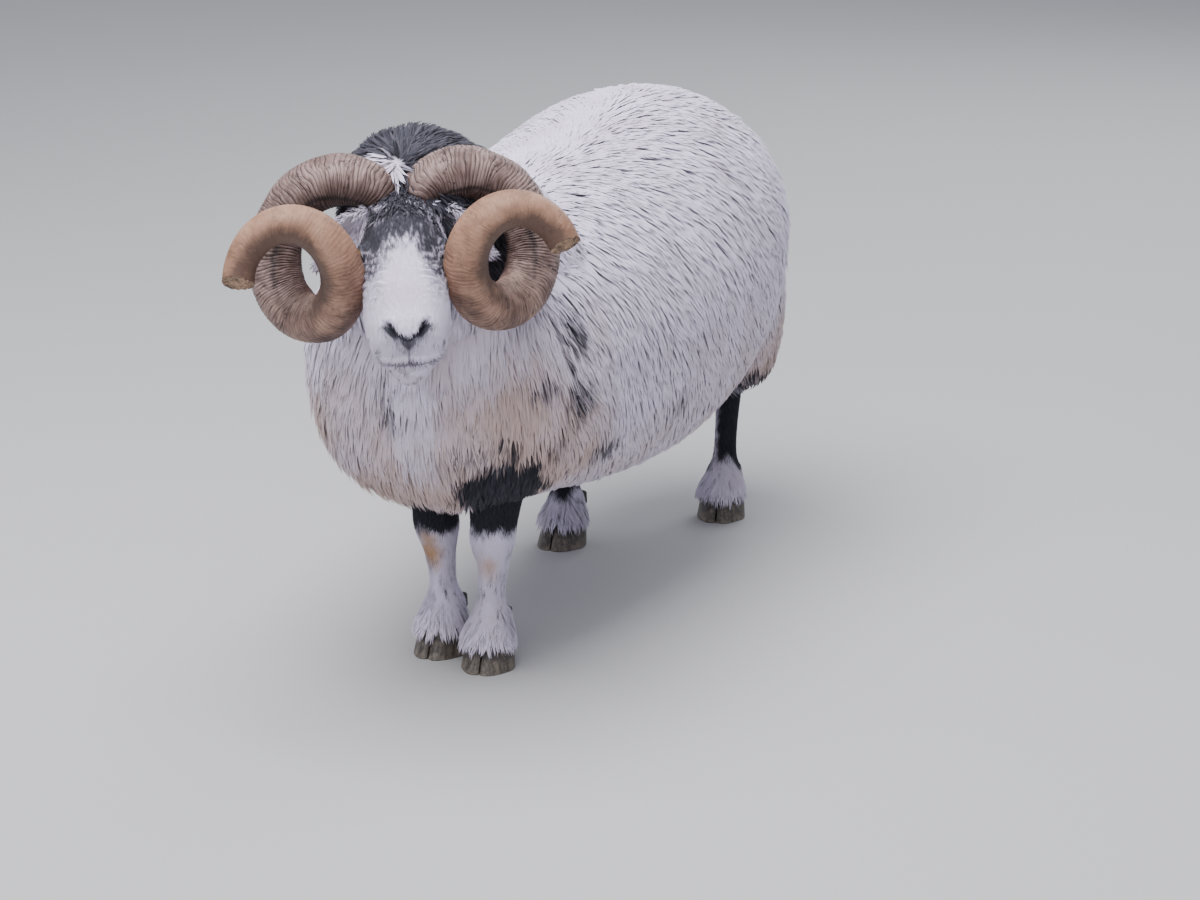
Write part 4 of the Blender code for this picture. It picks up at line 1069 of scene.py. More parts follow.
@dataclass(frozen=True)
class HornFinish:
    """Ribbed horn: pinkish brown with fine dark lines, turning tan and smoother to the tip."""

    name: str = "ribbed_horn"
    base: Colour = (0.160, 0.100, 0.088)
    base_pale: Colour = (0.370, 0.268, 0.245)
    tip: Colour = (0.300, 0.160, 0.100)
    tip_pale: Colour = (0.480, 0.300, 0.215)
    brown: Colour = (0.070, 0.042, 0.034)
    groove: Colour = (0.022, 0.014, 0.014)
    roughness: float = 0.58

    def material(self) -> bpy.types.Material:
        """Build the finish from how far along the horn, which rib, how far inside the coil and how far facing
        down a point is, the last two for painted shade.
        """
        shader = Shader(self.name)
        along, rib = shader.attribute("along"), shader.attribute("rib")
        inner, under = shader.attribute("inner"), shader.attribute("under")
        where = shader.place()
        x, y, z = shader.parts(where)
        broad = shader.noise(where, 24.0, 4.0, 0.6)
        patchy = shader.noise(where, 75.0, 2.0, 0.5)
        fine = shader.noise(where, 330.0, 4.0, 0.7)
        streak = shader.noise(shader.joined(x * 95.0, y * 95.0, z * 95.0 + rib * 2.3), 1.0, 3.0, 0.65)
        share = (along + (broad - 0.5) * 0.35).eased(0.40, 0.78)
        pale = ((broad - 0.44) * 2.6 + (streak - 0.46) * (3.2 - share * 2.2)).least(1.0).most(0.0)
        base = shader.mix(pale * 0.8, self.base, self.base_pale)
        tip = shader.mix(pale * 0.7, self.tip, self.tip_pale)
        colour = shader.mix(share, base, tip)
        cloud = (0.50 - broad) * 2.4 + (0.5 - patchy) * 0.8 + (0.5 - streak) * 0.8
        root = 1.0 - along.eased(0.02, 0.17)
        # painted shade: darker inside the coil and on the undersides, with some dirt there, and darker
        # towards the root
        shade_inside_and_under = inner.eased(0.30, 0.72) * (0.40 + share * 0.70) + under * 0.75 + root * 0.35
        # worn: this painted shade together with random brown patches from the noise
        worn = (shade_inside_and_under + cloud).least(1.0).most(0.0)
        colour = shader.mix(worn * 0.80, colour, self.brown)
        wave = (rib * (2 * math.pi)).cosine()
        each = shader.noise(shader.joined(x * 12.0, y * 12.0, rib * 0.83), 1.0, 1.0, 0.5)
        line = ((wave + 1.0) * 0.5) ** 7.0 * ((each - 0.36) * 4.5).least(1.0).most(0.06)
        crease = ((0.42 - streak) * 7.0).least(1.0).most(0.0)
        from_keel = (inner - 0.74 + (patchy - 0.5) * 0.10).size()
        keel = (1.0 - (from_keel * 13.0).least(1.0)) * (1.0 - along.eased(0.36, 0.52))
        slow = (rib * (math.pi / 5.5) + patchy * 5.0).cosine()
        crack = ((slow + 1.0) * 0.5) ** 150.0 * ((0.62 - fine) * 5.0).least(1.0).most(0.0)
        depth = (line * 0.90 + crease * 0.60) * (1.0 - share * 0.84)
        depth = depth + (keel + crack) * 0.85 * (1.0 - share * 0.6)
        colour = shader.mix(depth.least(0.92), colour, self.groove)
        shader.set(Base_Color=colour, Roughness=self.roughness + (fine - 0.5) * 0.25)
        shader.set(Specular_IOR_Level=0.35)
        shader.bump(fine * 0.35 + streak * 0.6 - depth * 0.9, 0.55, 0.0010)
        return shader.material


@dataclass(frozen=True)
class SawnFinish:
    """The fibrous face where a horn's tip was sawn off."""

    name: str = "sawn_horn"
    fresh: Colour = (0.42, 0.27, 0.17)
    dirt: Colour = (0.060, 0.040, 0.030)

    def material(self) -> bpy.types.Material:
        """Build the finish."""
        shader = Shader(self.name)
        fibre = shader.noise(shader.place(), 420.0, 4.0, 0.75)
        cloud = shader.noise(shader.place(), 90.0, 3.0, 0.6)
        share = (fibre * 0.9 + cloud * 0.7).eased(0.62, 0.98)
        shader.set(Base_Color=shader.mix(share, self.fresh, self.dirt), Roughness=0.85)
        shader.bump(fibre, 0.8, 0.001)
        return shader.material


@dataclass(frozen=True)
class EyeFinish:
    """An amber iris round a level, oblong pupil, under a wet cornea."""

    name: str
    place: tuple[float, float, float]
    turn: tuple[float, float, float]
    iris: Colour = (0.34, 0.17, 0.045)
    iris_dark: Colour = (0.085, 0.038, 0.012)
    pupil: Colour = (0.004, 0.004, 0.006)
    white: Colour = (0.10, 0.065, 0.05)

    def material(self) -> bpy.types.Material:
        """Build the finish in a frame of the eye's own: X to the nose, Y up, Z outwards."""
        shader = Shader(self.name)
        local = shader.mapped(shader.place(), self.place, self.turn, (1.0, 1.0, 1.0))
        ahead, rise, out = shader.parts(local)
        away = (ahead * ahead + rise * rise) ** 0.5
        streak = shader.noise(local, 900.0, 2.0, 0.6)
        iris = shader.mix((away * 130.0 + streak - 0.75).least(1.0).most(0.0), self.iris, self.iris_dark)
        inside = (1 - away.eased(0.0094, 0.0106)) * out.eased(0.0, 0.002)
        colour = shader.mix(inside, self.white, iris)
        oblong = ((ahead.size() / 0.0056) ** 4.0 + (rise.size() / 0.0024) ** 4.0).eased(0.8, 1.3)
        shader.set(Base_Color=shader.mix((1 - oblong) * inside, colour, self.pupil), Roughness=0.06)
        shader.set(Coat_Weight=1.0, Coat_Roughness=0.02, Specular_IOR_Level=0.6)
        return shader.material


@dataclass(frozen=True)
class HoofFinish:
    """Dark horn of a hoof, with growth lines and worn, pale streaks."""

    name: str = "hoof_horn"
    dark: Colour = (0.045, 0.038, 0.034)
    pale: Colour = (0.20, 0.165, 0.13)

    def material(self) -> bpy.types.Material:
        """Build the finish."""
        shader = Shader(self.name)
        where = shader.place()
        _, _, height = shader.parts(where)
        cloud = shader.noise(where, 70.0, 4.0, 0.65)
        streaks = shader.mapped(where, (0, 0, 0), (0, 0, 0), (1.0, 1.0, 6.0))
        streak = shader.noise(streaks, 260.0, 3.0, 0.6)
        lines = (height * 2100.0 + cloud * 9.0).sine()
        worn = (cloud * 0.8 + streak * 0.7 - height * 6.0).eased(0.50, 0.95)
        shader.set(Base_Color=shader.mix(worn, self.dark, self.pale), Roughness=0.50 + (cloud - 0.5) * 0.3)
        shader.bump(lines * 0.35 + streak * 0.6, 0.5, 0.0007)
        return shader.material


@dataclass(frozen=True)
class FloorFinish:
    """Plain pale floor."""

    name: str = "pale_floor"
    colour: Colour = (0.46, 0.46, 0.46)

    def material(self) -> bpy.types.Material:
        """Build the finish, faintly uneven."""
        shader = Shader(self.name)
        cloud = shader.noise(shader.place(), 1.4, 3.0, 0.5)
        lighter = tuple(channel * 1.05 for channel in self.colour)
        shader.set(Base_Color=shader.mix(cloud, self.colour, lighter), Roughness=0.85)
        return shader.material


# The coat


@dataclass(frozen=True)
class Growth:
    """How one kind of tuft stands on the skin, in metres."""

    rise: float
    drift: float
    width: float
    thickness: float
    rings: int
    staple: float = 0.0
    gather: float = 0.0
    ruffle: float = 0.35
    curl: float = 0.0
    sink: float = 0.001
    varied: float = 0.18
    mingle: float = 0.9

    def steps(self) -> np.ndarray:
        """Where the rings and the tip stand along the tuft."""
        last = 0.70 if self.rings == 2 else 0.80
        return np.append(np.linspace(0, last, self.rings) if self.rings > 1 else [0.0], 1.0)


# Rise, drift, width, thickness and rings, then staple, gather, ruffle, curl and sink
PLUSH = Growth(0.0078, 0.0350, 0.0042, 0.0010, 3, 0.014, 0.20, 0.12, 0.0006)
RUMP_LOCK = Growth(0.0100, 0.0360, 0.0044, 0.0013, 4, 0.015, 0.34, 0.22, 0.0024)
NECK_WOOL = Growth(0.0085, 0.0300, 0.0034, 0.0011, 3, 0.011, 0.30, 0.30, 0.0014)
TAIL_WOOL = Growth(0.0070, 0.0220, 0.0034, 0.0011, 2, 0.012, 0.30, 0.35, 0.0014)
CHEST_LOCK = Growth(0.0105, 0.0560, 0.0036, 0.0013, 4, 0.013, 0.34, 0.15, 0.0016)
FACE_HAIR = Growth(0.0014, 0.0068, 0.00100, 0.0005, 1, 0.0, 0.0, 0.22, 0.0, 0.0004)
POLL_HAIR = Growth(0.0040, 0.0120, 0.00120, 0.0006, 2, 0.005, 0.25, 0.30, 0.0005, 0.0004)
EAR_HAIR = Growth(0.0058, 0.0120, 0.00150, 0.0007, 2, 0.004, 0.25, 0.50, 0.0006, 0.0004)
LEG_HAIR = Growth(0.0016, 0.0080, 0.00115, 0.0006, 1, 0.0, 0.0, 0.24, 0.0, 0.0004)
FEATHER = Growth(0.0030, 0.0205, 0.00140, 0.0007, 2, 0.006, 0.30, 0.22, 0.0006, 0.0004)
PROFILES = {1: (1.0,), 2: (0.80, 1.0), 3: (0.80, 1.0, 0.72), 4: (0.75, 1.0, 0.92, 0.62)}
DOWN = (0.0, 0.35, -1.0)
TO_NOSE = np.array([0.0, -1.0, -0.25])
TO_EAR_TIP = np.array([0.62, -0.30, -0.70])


@dataclass(frozen=True)
class Cover:
    """One kind of coat: its tufts, how many stand on a square centimetre, their lie and its swirl,
    how far over the skin and down the lie the markings are read, and the seed of its draws."""

    name: str
    slot: str
    growth: Growth
    density: float
    lie: Sequence[float] | Callable
    swirl: float
    height: float
    seed: int
    reach: float = 0.0


def face_lie(points: np.ndarray) -> np.ndarray:
    """The hair's direction: down the face, and outwards and back round the mouth and chin."""
    x, y, z = in_head(points).T
    low = (ramp(-y, 0.150, 0.215) * ramp(-z, 0.045, 0.075))[:, None]
    outwards = np.column_stack([14.0 * x, np.full(len(x), 0.35), np.full(len(x), -1.0)])
    return (TO_NOSE * (1 - low) + outwards * low) @ HEAD[:3, :3].T


TRUNK_COVER = Cover("fleece", "fleece", PLUSH, 4.4, DOWN, 0.35, 0.008, 31, 0.012)
RUMP_COVER = Cover("rump_locks", "fleece", RUMP_LOCK, 3.7, DOWN, 0.4, 0.011, 37, 0.018)
CHEST_COVER = Cover("chest_locks", "fleece", CHEST_LOCK, 7.0, (0.0, 0.06, -1.0), 0.25, 0.011, 32, 0.034)
BREECH_COVER = Cover("breech", "fleece", PLUSH, 5.0, DOWN, 0.4, 0.011, 33)
NECK_COVER = Cover("neck_wool", "dark_wool", NECK_WOOL, 6.4, (0.0, 0.6, -0.8), 0.4, 0.012, 34)
TAIL_COVER = Cover("tail_wool", "fleece", TAIL_WOOL, 12.0, (0.0, 0.1, -1.0), 0.2, 0.009, 35)
FACE_COVER = Cover("face_hair", "face_hair", FACE_HAIR, 44.0, face_lie, 0.35, 0.001, 41)
POLL_COVER = Cover("poll_hair", "face_hair", POLL_HAIR, 22.0, HEAD[:3, :3] @ TO_NOSE, 0.5, 0.002, 42)


@dataclass
class Tufts:
    """Where tufts stand: their roots, the skin's normals, the lie of the coat and the bake map."""

    roots: np.ndarray
    normals: np.ndarray
    lies: np.ndarray
    spots: np.ndarray
    dark: np.ndarray
    tan: np.ndarray

    def part(self, chosen: np.ndarray) -> "Tufts":
        """Some of the tufts."""
        return Tufts(*(getattr(self, name)[chosen] for name in self.__dataclass_fields__))


def coat_pigment(points: np.ndarray, zone: Zone) -> np.ndarray:
    """Share of dark colour for places in one zone."""
    if zone is Zone.HEAD:
        return face_darkness(points)
    if zone in (Zone.EAR_LEFT, Zone.EAR_RIGHT):
        return 0.30 * ramp(value_noise(points, 0.012, 16) + 0.4 * value_noise(points, 0.005, 17), 0.2, 0.9)
    if zone in LEGS.values():
        return leg_darkness(points, zone)
    return fleece_darkness(points)


@dataclass
class Fleece:
    """All the wool and hair, grown from the hide as solid tufts."""

    hide: Hide
    most: int = 19500
    seed: int = 7
    softness: float = 0.92
    pieces: list = field(default_factory=list)

    def __post_init__(self) -> None:
        """Read the hide's triangles, normals and zones."""
        obj = self.hide.obj
        obj.data.calc_loop_triangles()
        flat = np.empty(len(obj.data.loop_triangles) * 3, np.int32)
        obj.data.loop_triangles.foreach_get("vertices", flat)
        self.corners = flat.reshape(-1, 3)
        self.points = coordinates(obj)
        self.normals = point_normals(obj)
        self.face_zones = self.hide.zones[self.corners[:, 0]]
        sides = self.points[self.corners]
        twice = np.cross(sides[:, 1] - sides[:, 0], sides[:, 2] - sides[:, 0])
        self.areas = np.linalg.norm(twice, axis=1) / 2
        self.middles = sides.mean(axis=1)

    def roots(self, wanted: np.ndarray, per_square_cm: float, seed: int) -> tuple[np.ndarray, np.ndarray]:
        """Evenly spread places on the chosen faces.

        Args:
            wanted: a weight for each face, 0 where nothing grows.
            per_square_cm: how many tufts a square centimetre carries.
            seed: for the random draws.

        Returns:
            The places and the skin's normals there.
        """
        random = np.random.RandomState(seed)
        weight = self.areas * wanted
        total = np.cumsum(weight)
        count = int(total[-1] * per_square_cm * 1e4)
        marks = (np.arange(count) + random.uniform(0, 1, count)) / count * total[-1]
        faces = self.corners[np.searchsorted(total, marks)]
        mix = random.dirichlet((1, 1, 1), count)[:, :, None]
        return (self.points[faces] * mix).sum(axis=1), unit((self.normals[faces] * mix).sum(axis=1))

    def lie(self, points: np.ndarray, normals: np.ndarray, main: np.ndarray, swirl: float) -> np.ndarray:
        """The direction along the skin in which the coat lies, turned a little by broad noise."""
        lies = unit(main - normals * (main * normals).sum(axis=1, keepdims=True))
        turn = swirl * value_noise(points, 0.09, 21) + 0.5 * swirl * value_noise(points, 0.03, 22)
        across = np.cross(normals, lies)
        return unit(lies * np.cos(turn)[:, None] + across * np.sin(turn)[:, None])

    def in_zones(self, *zones: Zone) -> np.ndarray:
        """One for each face of the hide in these zones, else nought."""
        return np.isin(self.face_zones, [zone.value for zone in zones]).astype(float)

    def tufts(self, cover: Cover, wanted: np.ndarray, unwrap: Callable, zone: Zone) -> Tufts:
        """Tufts for one kind of coat, spread by a weight for each face."""
        roots, normals = self.roots(wanted, cover.density, cover.seed)
        plain = not callable(cover.lie)
        main = np.tile(np.array(cover.lie, float), (len(roots), 1)) if plain else cover.lie(roots)
        lies = self.lie(roots, normals, main, cover.swirl)
        seen = roots + normals * cover.height + lies * cover.reach
        spots = np.clip(unwrap(roots), MAP_LOW, MAP_HIGH)
        return Tufts(roots, normals, lies, spots, coat_pigment(seen, zone), dirt_and_low_shade(seen))

    def grow(self, cover: Cover, wanted: np.ndarray, unwrap: Callable, material: bpy.types.Material,
             zone: Zone = Zone.TRUNK) -> None:
        """Make one kind of coat as joined meshes, each of a bearable size.

        Args:
            cover: the kind.
            wanted: a weight for each face of the hide, 0 where nothing grows.
            unwrap: from places to places on the bake map.
            material: the finish.
            zone: which markings to read.
        """
        name, growth = cover.name, cover.growth
        tufts = self.tufts(cover, wanted, unwrap, zone)
        order = np.argsort(tufts.spots[:, 1], kind="stable")
        most = self.most * 10 // self.faces_of(growth.rings)
        groups = np.array_split(order, max(1, math.ceil(len(order) / most)))
        for index, chosen in enumerate(groups):
            label = name if len(groups) == 1 else f"{name}_{index + 1}"
            self.pieces.append(self.mesh(label, tufts.part(chosen), growth, self.seed + index))
            self.pieces[-1].data.materials.append(material)
            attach(self.pieces[-1], "root")
            log.info("%s: %d tufts", label, len(chosen))

    @staticmethod
    def faces_of(rings: int) -> int:
        """How many triangles one tuft has."""
        return 6 * (rings - 1) + 4

    def staples(self, tufts: Tufts, growth: Growth, random: np.random.RandomState) -> np.ndarray:
        """For each tuft, the index of the one that its neighbours' tips draw together to."""
        cells = np.floor(tufts.roots / growth.staple + random.uniform(0, 1, 3)).astype(np.int64)
        key = cells @ np.array([1, 4096, 4096 * 4096])
        _, index = np.unique(key, return_inverse=True)
        picks = random.permutation(len(key))
        leader = np.empty(index.max() + 1, np.int64)
        leader[index.reshape(-1)[picks]] = picks
        tree = KDTree(len(leader))
        for place in leader:
            tree.insert(tufts.roots[place], int(place))
        tree.balance()
        return np.array([tree.find(root)[1] for root in tufts.roots])

    def centre_lines(self, tufts: Tufts, growth: Growth, seed: int) -> tuple[np.ndarray, np.ndarray]:
        """Places along each tuft, and the direction across it."""
        random = np.random.RandomState(seed)
        count = len(tufts.roots)
        turn = growth.ruffle * random.normal(0, 1, count)
        size = 1 + growth.varied * random.uniform(-1, 1, count)
        across = np.cross(tufts.normals, tufts.lies)
        lies = tufts.lies * np.cos(turn)[:, None] + across * np.sin(turn)[:, None]
        rise, drift = growth.rise * size, growth.drift * size
        if growth.staple:
            leaders = self.staples(tufts, growth, random)
            rise = growth.rise * (0.35 * size + 0.65 * size[leaders])
            lies = unit(lies + 0.8 * lies[leaders])
        steps = growth.steps()
        lines = []
        for t in steps:
            up = 1 - (1 - t) ** 1.7
            lines.append(tufts.roots - tufts.normals * growth.sink
                         + tufts.normals * (rise * up)[:, None] + lies * (drift * t**1.5)[:, None])
        lines = np.array(lines)
        if growth.staple:
            for t, line in zip(steps, lines):
                line += (line[leaders] - line) * growth.gather * t**1.3
        if growth.curl:
            wave = random.uniform(-1, 1, (len(steps), count, 1)) * growth.curl
            wave[0] = 0
            lines += wave * np.cross(tufts.normals, lies)
        return lines, unit(np.cross(tufts.normals, lies))

    def mesh(self, name: str, tufts: Tufts, growth: Growth, seed: int) -> bpy.types.Object:
        """One mesh of closed, tapered tufts, with its colours and its bake map.

        Args:
            name: the piece's name.
            tufts: where they stand.
            growth: their shape.
            seed: for the random draws.

        Returns:
            The object.
        """
        lines, across = self.centre_lines(tufts, growth, seed)
        off = unit(np.cross(np.diff(lines, axis=0), across[None]))
        rings, count = growth.rings, len(tufts.roots)
        random = np.random.RandomState(seed + 500)
        tone = random.uniform(0, 1, count)
        columns, along, steps = [], [], growth.steps()
        for ring in range(rings):
            width = growth.width * PROFILES[rings][ring] / 2
            thick = growth.thickness * PROFILES[rings][ring]
            centre = lines[ring]
            columns += [centre - across * width, centre + across * width, centre + off[ring] * thick]
            along += [steps[ring]] * 3
        columns.append(lines[rings])
        along.append(1.0)
        points = np.stack(columns, axis=1)
        pattern = self.pattern(rings)
        each = points.shape[1]
        faces = (np.arange(count)[:, None, None] * each + pattern[None]).reshape(-1, 3)
        data = bpy.data.meshes.new(name)
        data.vertices.add(count * each)
        data.vertices.foreach_set("co", points.astype(np.float32).ravel())
        data.loops.add(len(faces) * 3)
        data.loops.foreach_set("vertex_index", faces.astype(np.int32).ravel())
        data.polygons.add(len(faces))
        data.polygons.foreach_set("loop_start", np.arange(len(faces), dtype=np.int32) * 3)
        data.update(calc_edges=True)
        around = np.stack(self.sides(across, off), axis=1)
        soft = unit(tufts.normals[:, None, :] * self.softness + around * (1 - self.softness))
        mingle = growth.mingle * (random.uniform(0, 1, count) - 0.5)
        blotched = np.clip(tufts.dark + mingle * self.edge(tufts.dark), 0, 1)
        self.store(data, "dark", np.repeat(blotched, each))
        self.store(data, "tan", np.repeat(tufts.tan, each))
        self.store(data, "tone", np.repeat(tone, each))
        self.store(data, "along", np.tile(along, count))
        self.bake_map(data, tufts.spots, along, each)
        data.polygons.foreach_set("use_smooth", np.ones(len(faces), bool))
        data.normals_split_custom_set_from_vertices(soft.reshape(-1, 3))
        obj = bpy.data.objects.new(name, data)
        bpy.context.scene.collection.objects.link(obj)
        return obj

    @staticmethod
    def sides(across: np.ndarray, off: np.ndarray) -> list[np.ndarray]:
        """Directions away from the tuft's own middle, for each of its points."""
        around = []
        for over in off:
            around += [-across - 0.3 * over, across - 0.3 * over, over]
        return around + [off[-1]]

    @staticmethod
    def edge(dark: np.ndarray) -> np.ndarray:
        """How much the colours mingle, most at the edge of a marking."""
        return 4 * dark * (1 - dark)

    @staticmethod
    def pattern(rings: int) -> np.ndarray:
        """The triangles of one tuft: its root, its sides and its tip."""
        faces = [(0, 2, 1)]
        for ring in range(rings - 1):
            for i in range(3):
                a, b = ring * 3 + i, ring * 3 + (i + 1) % 3
                faces += [(a, b, b + 3), (a, b + 3, a + 3)]
        last, tip = (rings - 1) * 3, rings * 3
        faces += [(last + i, last + (i + 1) % 3, tip) for i in range(3)]
        return np.array(faces)

    @staticmethod
    def store(data: bpy.types.Mesh, name: str, values: np.ndarray) -> None:
        """Store a number at each point of the mesh."""
        data.attributes.new(name, "FLOAT", "POINT").data.foreach_set("value", values.astype(np.float32))

    @staticmethod
    def bake_map(data: bpy.types.Mesh, spots: np.ndarray, along: list[float], each: int) -> None:
        """Give each tuft a small patch of its own at its root's place on the skin's unwrap."""
        corners = np.empty(len(data.loops), np.int32)
        data.loops.foreach_get("vertex_index", corners)
        owner, part = corners // each, corners % each
        u = spots[owner, 0] + PATCH * (part % 3) / 2
        v = spots[owner, 1] + PATCH * np.array(along)[part]
        uv_map = data.uv_layers.new(name=BAKE_MAP)
        uv_map.data.foreach_set("uv", np.column_stack([u, v]).astype(np.float32).ravel())


# Unwraps of the skin, for the bake map


def unwrap_trunk(points: np.ndarray) -> np.ndarray:
    """Round the barrel and along it, the ends spread like a globe's."""
    centre, front, back = np.array([-0.011, 0.0, 0.42]), -0.22, 0.42
    away = points - centre
    across = np.hypot(away[:, 0], away[:, 2])
    u = np.arctan2(away[:, 0], -away[:, 2]) / (2 * math.pi) + 0.5
    y = points[:, 1]
    tilt_front = np.arctan2(front - y, across)
    tilt_back = np.arctan2(y - back, across)
    v = np.where(y < front, front - 0.2 * tilt_front, np.where(y > back, back + 0.2 * tilt_back, y))
    return np.column_stack([u, (v + 0.54) / 1.28])


def unwrap_neck(points: np.ndarray) -> np.ndarray:
    """Round the neck and along it."""
    axis = unit(np.array([0.0, -0.78, 0.62]))
    away = points - np.array([-0.011, -0.30, 0.53])
    length = away @ axis
    side = away[:, 0]
    above = away @ np.array([0.0, 0.62, 0.78])
    return np.column_stack([np.arctan2(side, -above) / (2 * math.pi) + 0.5, (length + 0.26) / 0.50])


def unwrap_head(points: np.ndarray) -> np.ndarray:
    """Round the face and along it."""
    x, y, z = in_head(points).T
    across = np.hypot(x, z + 0.07)
    v = np.where(y < -0.20, -0.20 - 0.05 * np.arctan2(-0.20 - y, across), y)
    return np.column_stack([np.arctan2(x, z + 0.07) / (2 * math.pi) + 0.5, (v + 0.29) / 0.37])


def unwrap_column(centre: tuple[float, float], low: float, high: float) -> Callable:
    """Round an upright column and up it."""

    def unwrap(points: np.ndarray) -> np.ndarray:
        """Places on the map."""
        turn = np.arctan2(points[:, 0] - centre[0], points[:, 1] - centre[1]) / (2 * math.pi) + 0.5
        return np.column_stack([0.02 + 0.96 * turn, (points[:, 2] - low) / (high - low)])

    return unwrap


def unwrap_ear(side: int) -> Callable:
    """Round one ear and along it, in half of the map."""
    along = unit(TO_EAR_TIP)
    facing = unit(np.array([0.35, -0.90, 0.10]))
    across = np.cross(along, facing)

    def unwrap(points: np.ndarray) -> np.ndarray:
        """Places on the half."""
        local = in_head(points) * np.array([side, 1, 1]) - np.array([0.052, -0.004, -0.044])
        turn = np.arctan2(local @ across, local @ facing + 0.008) / (2 * math.pi) + 0.5
        u = ((0 if side > 0 else 1) + 0.02 + 0.96 * turn) / 2
        return np.column_stack([u, (local @ along + 0.02) / 0.12])

    return unwrap


@dataclass
class Wool:
    """The coat's kinds, zone by zone."""

    fleece: Fleece

    def chest_share(self) -> np.ndarray:
        """One for faces of the chest, where wool hangs in locks, fading to nought."""
        middles = self.fleece.middles
        normals = unit(self.fleece.normals[self.fleece.corners].sum(axis=1))
        woolly = self.fleece.in_zones(Zone.TRUNK, Zone.NECK)
        forward = ramp(-normals[:, 1], 0.30, 0.58) * ramp(0.45 - normals[:, 2], 0.0, 0.25)
        forward *= 1 - ELBOW.over(middles, np.zeros(len(middles)))
        return woolly * forward * ramp(-middles[:, 1], 0.270, 0.330) * ramp(0.60 - middles[:, 2], 0.0, 0.05)

    def rump_share(self) -> np.ndarray:
        """One for faces of the rump, where wavy locks hang, fading to nought."""
        normals = unit(self.fleece.normals[self.fleece.corners].sum(axis=1))
        behind = ramp(normals[:, 1], 0.22, 0.50) * ramp(self.fleece.middles[:, 1], 0.30, 0.40)
        return self.fleece.in_zones(Zone.TRUNK) * behind

    def build(self) -> None:
        """Grow every kind of coat."""
        fleece = self.fleece
        # the tan of the dirt on the wool, also laid low on the body as painted shade
        dirt_and_shade_tan = (0.54, 0.405, 0.375)
        wool = Coat("wool", tan=dirt_and_shade_tan).material()
        dark_wool = Coat("neck_wool", tan=dirt_and_shade_tan, root_shade=0.85, sheen=0.05).material()
        hair = Coat("short_hair", root_shade=0.92, roughness=0.80, sheen=0.04).material()
        chest, rump = self.chest_share(), self.rump_share()
        trunk = fleece.in_zones(Zone.TRUNK) * (1 - chest)
        neck = fleece.in_zones(Zone.NECK, Zone.NAPE) * (1 - chest)
        breech_map = unwrap_column((-0.011, 0.42), 0.18, 0.70)
        tail_map = unwrap_column((-0.011, 0.60), 0.26, 0.72)
        fleece.grow(TRUNK_COVER, trunk * (1 - rump), unwrap_trunk, wool)
        fleece.grow(RUMP_COVER, rump, unwrap_trunk, wool)
        fleece.grow(CHEST_COVER, chest, unwrap_trunk, wool)
        fleece.grow(BREECH_COVER, fleece.in_zones(Zone.BREECH), breech_map, wool)
        fleece.grow(NECK_COVER, neck, unwrap_neck, dark_wool)
        fleece.grow(TAIL_COVER, fleece.in_zones(Zone.TAIL), tail_map, wool)
        self.face(hair)
        self.ears(hair)
        self.legs(hair)

    def face(self, hair: bpy.types.Material) -> None:
        """Short hair on the face, longer on the poll."""
        local = in_head(self.fleece.middles)
        head = self.fleece.in_zones(Zone.HEAD)
        poll = ramp(-local[:, 1], 0.060, 0.020)
        bare = Nose.darkness(*local.T)
        eyes = np.zeros(len(local))
        for side in (1, -1):
            away = np.linalg.norm(local - EYE.middle(side), axis=1)
            eyes = np.maximum(eyes, bell(away - 0.012, 0.0065))
        keep = head * np.clip(1 - bare, 0, 1) * (1 - np.clip(eyes * 1.4, 0, 1))
        self.fleece.grow(FACE_COVER, keep * (1 - poll), unwrap_head, hair, Zone.HEAD)
        self.fleece.grow(POLL_COVER, keep * poll, unwrap_head, hair, Zone.HEAD)

    def ears(self, hair: bpy.types.Material) -> None:
        """Short hair on both ears."""
        for side, zone, label in ((1, Zone.EAR_LEFT, "left"), (-1, Zone.EAR_RIGHT, "right")):
            outwards = HEAD[:3, :3] @ (TO_EAR_TIP * np.array([side, 1, 1]))
            cover = Cover(f"ear_hair_{label}", "ear_hair", EAR_HAIR, 30.0, outwards, 0.4, 0.001, 43 + side)
            self.fleece.grow(cover, self.fleece.in_zones(zone), unwrap_ear(side), hair, zone)

    def legs(self, hair: bpy.types.Material) -> None:
        """Short hair down each leg to the coronet, with feathering over the foot."""
        low = ramp(self.fleece.middles[:, 2], 0.070, 0.050)
        for index, (foot, zone) in enumerate(LEGS.items()):
            x, y, _ = FEET[foot]
            unwrap = unwrap_column((x - STAND_POINT[0], y - STAND_POINT[1]), 0.02, 0.42)
            leg = self.fleece.in_zones(zone)
            kinds = (
                (f"{foot}_hair", LEG_HAIR, 26.0, (0.0, 0.05, -1.0), 51 + index, leg * (1 - low)),
                (f"{foot}_feather", FEATHER, 16.0, (0.0, 0.0, -1.0), 61 + index, leg * low),
            )
            for name, growth, density, lie, seed, share in kinds:
                cover = Cover(name, "leg_hair", growth, density, lie, 0.2, 0.001, seed)
                self.fleece.grow(cover, share, unwrap, hair, zone)


def dress_hide(hide: Hide) -> None:
    """Store the coat's colours on the hide and give it its finish."""
    points, normals = coordinates(hide.obj), point_normals(hide.obj)
    dark, tan = np.zeros(len(points)), np.zeros(len(points))
    for zone in Zone:
        here = hide.zones == zone.value
        if here.any():
            over = points[here] + normals[here] * hide.wool_depth.get(zone, 0.001)
            dark[here] = coat_pigment(over, zone)
            tan[here] = dirt_and_low_shade(over)
    for name, values in (("dark", dark), ("tan", tan), ("tone", np.full(len(points), 0.5))):
        Fleece.store(hide.obj.data, name, values)
    woolly = np.isin(hide.zones, [zone.value for zone in WOOLLY])
    Fleece.store(hide.obj.data, "along", np.where(woolly, 0.0, 0.75))
    hide.obj.data.materials.clear()
    hide.obj.data.materials.append(Coat("hide", grain=0.5, roughness=0.8, sheen=0.05).material())
    flesh = [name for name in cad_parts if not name.startswith(("horn", "eye")) and "claw" not in name]
    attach(hide.obj, "root")
    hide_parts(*flesh)
    log.info("hide: %d points", len(points))


# Horns, eyes and feet


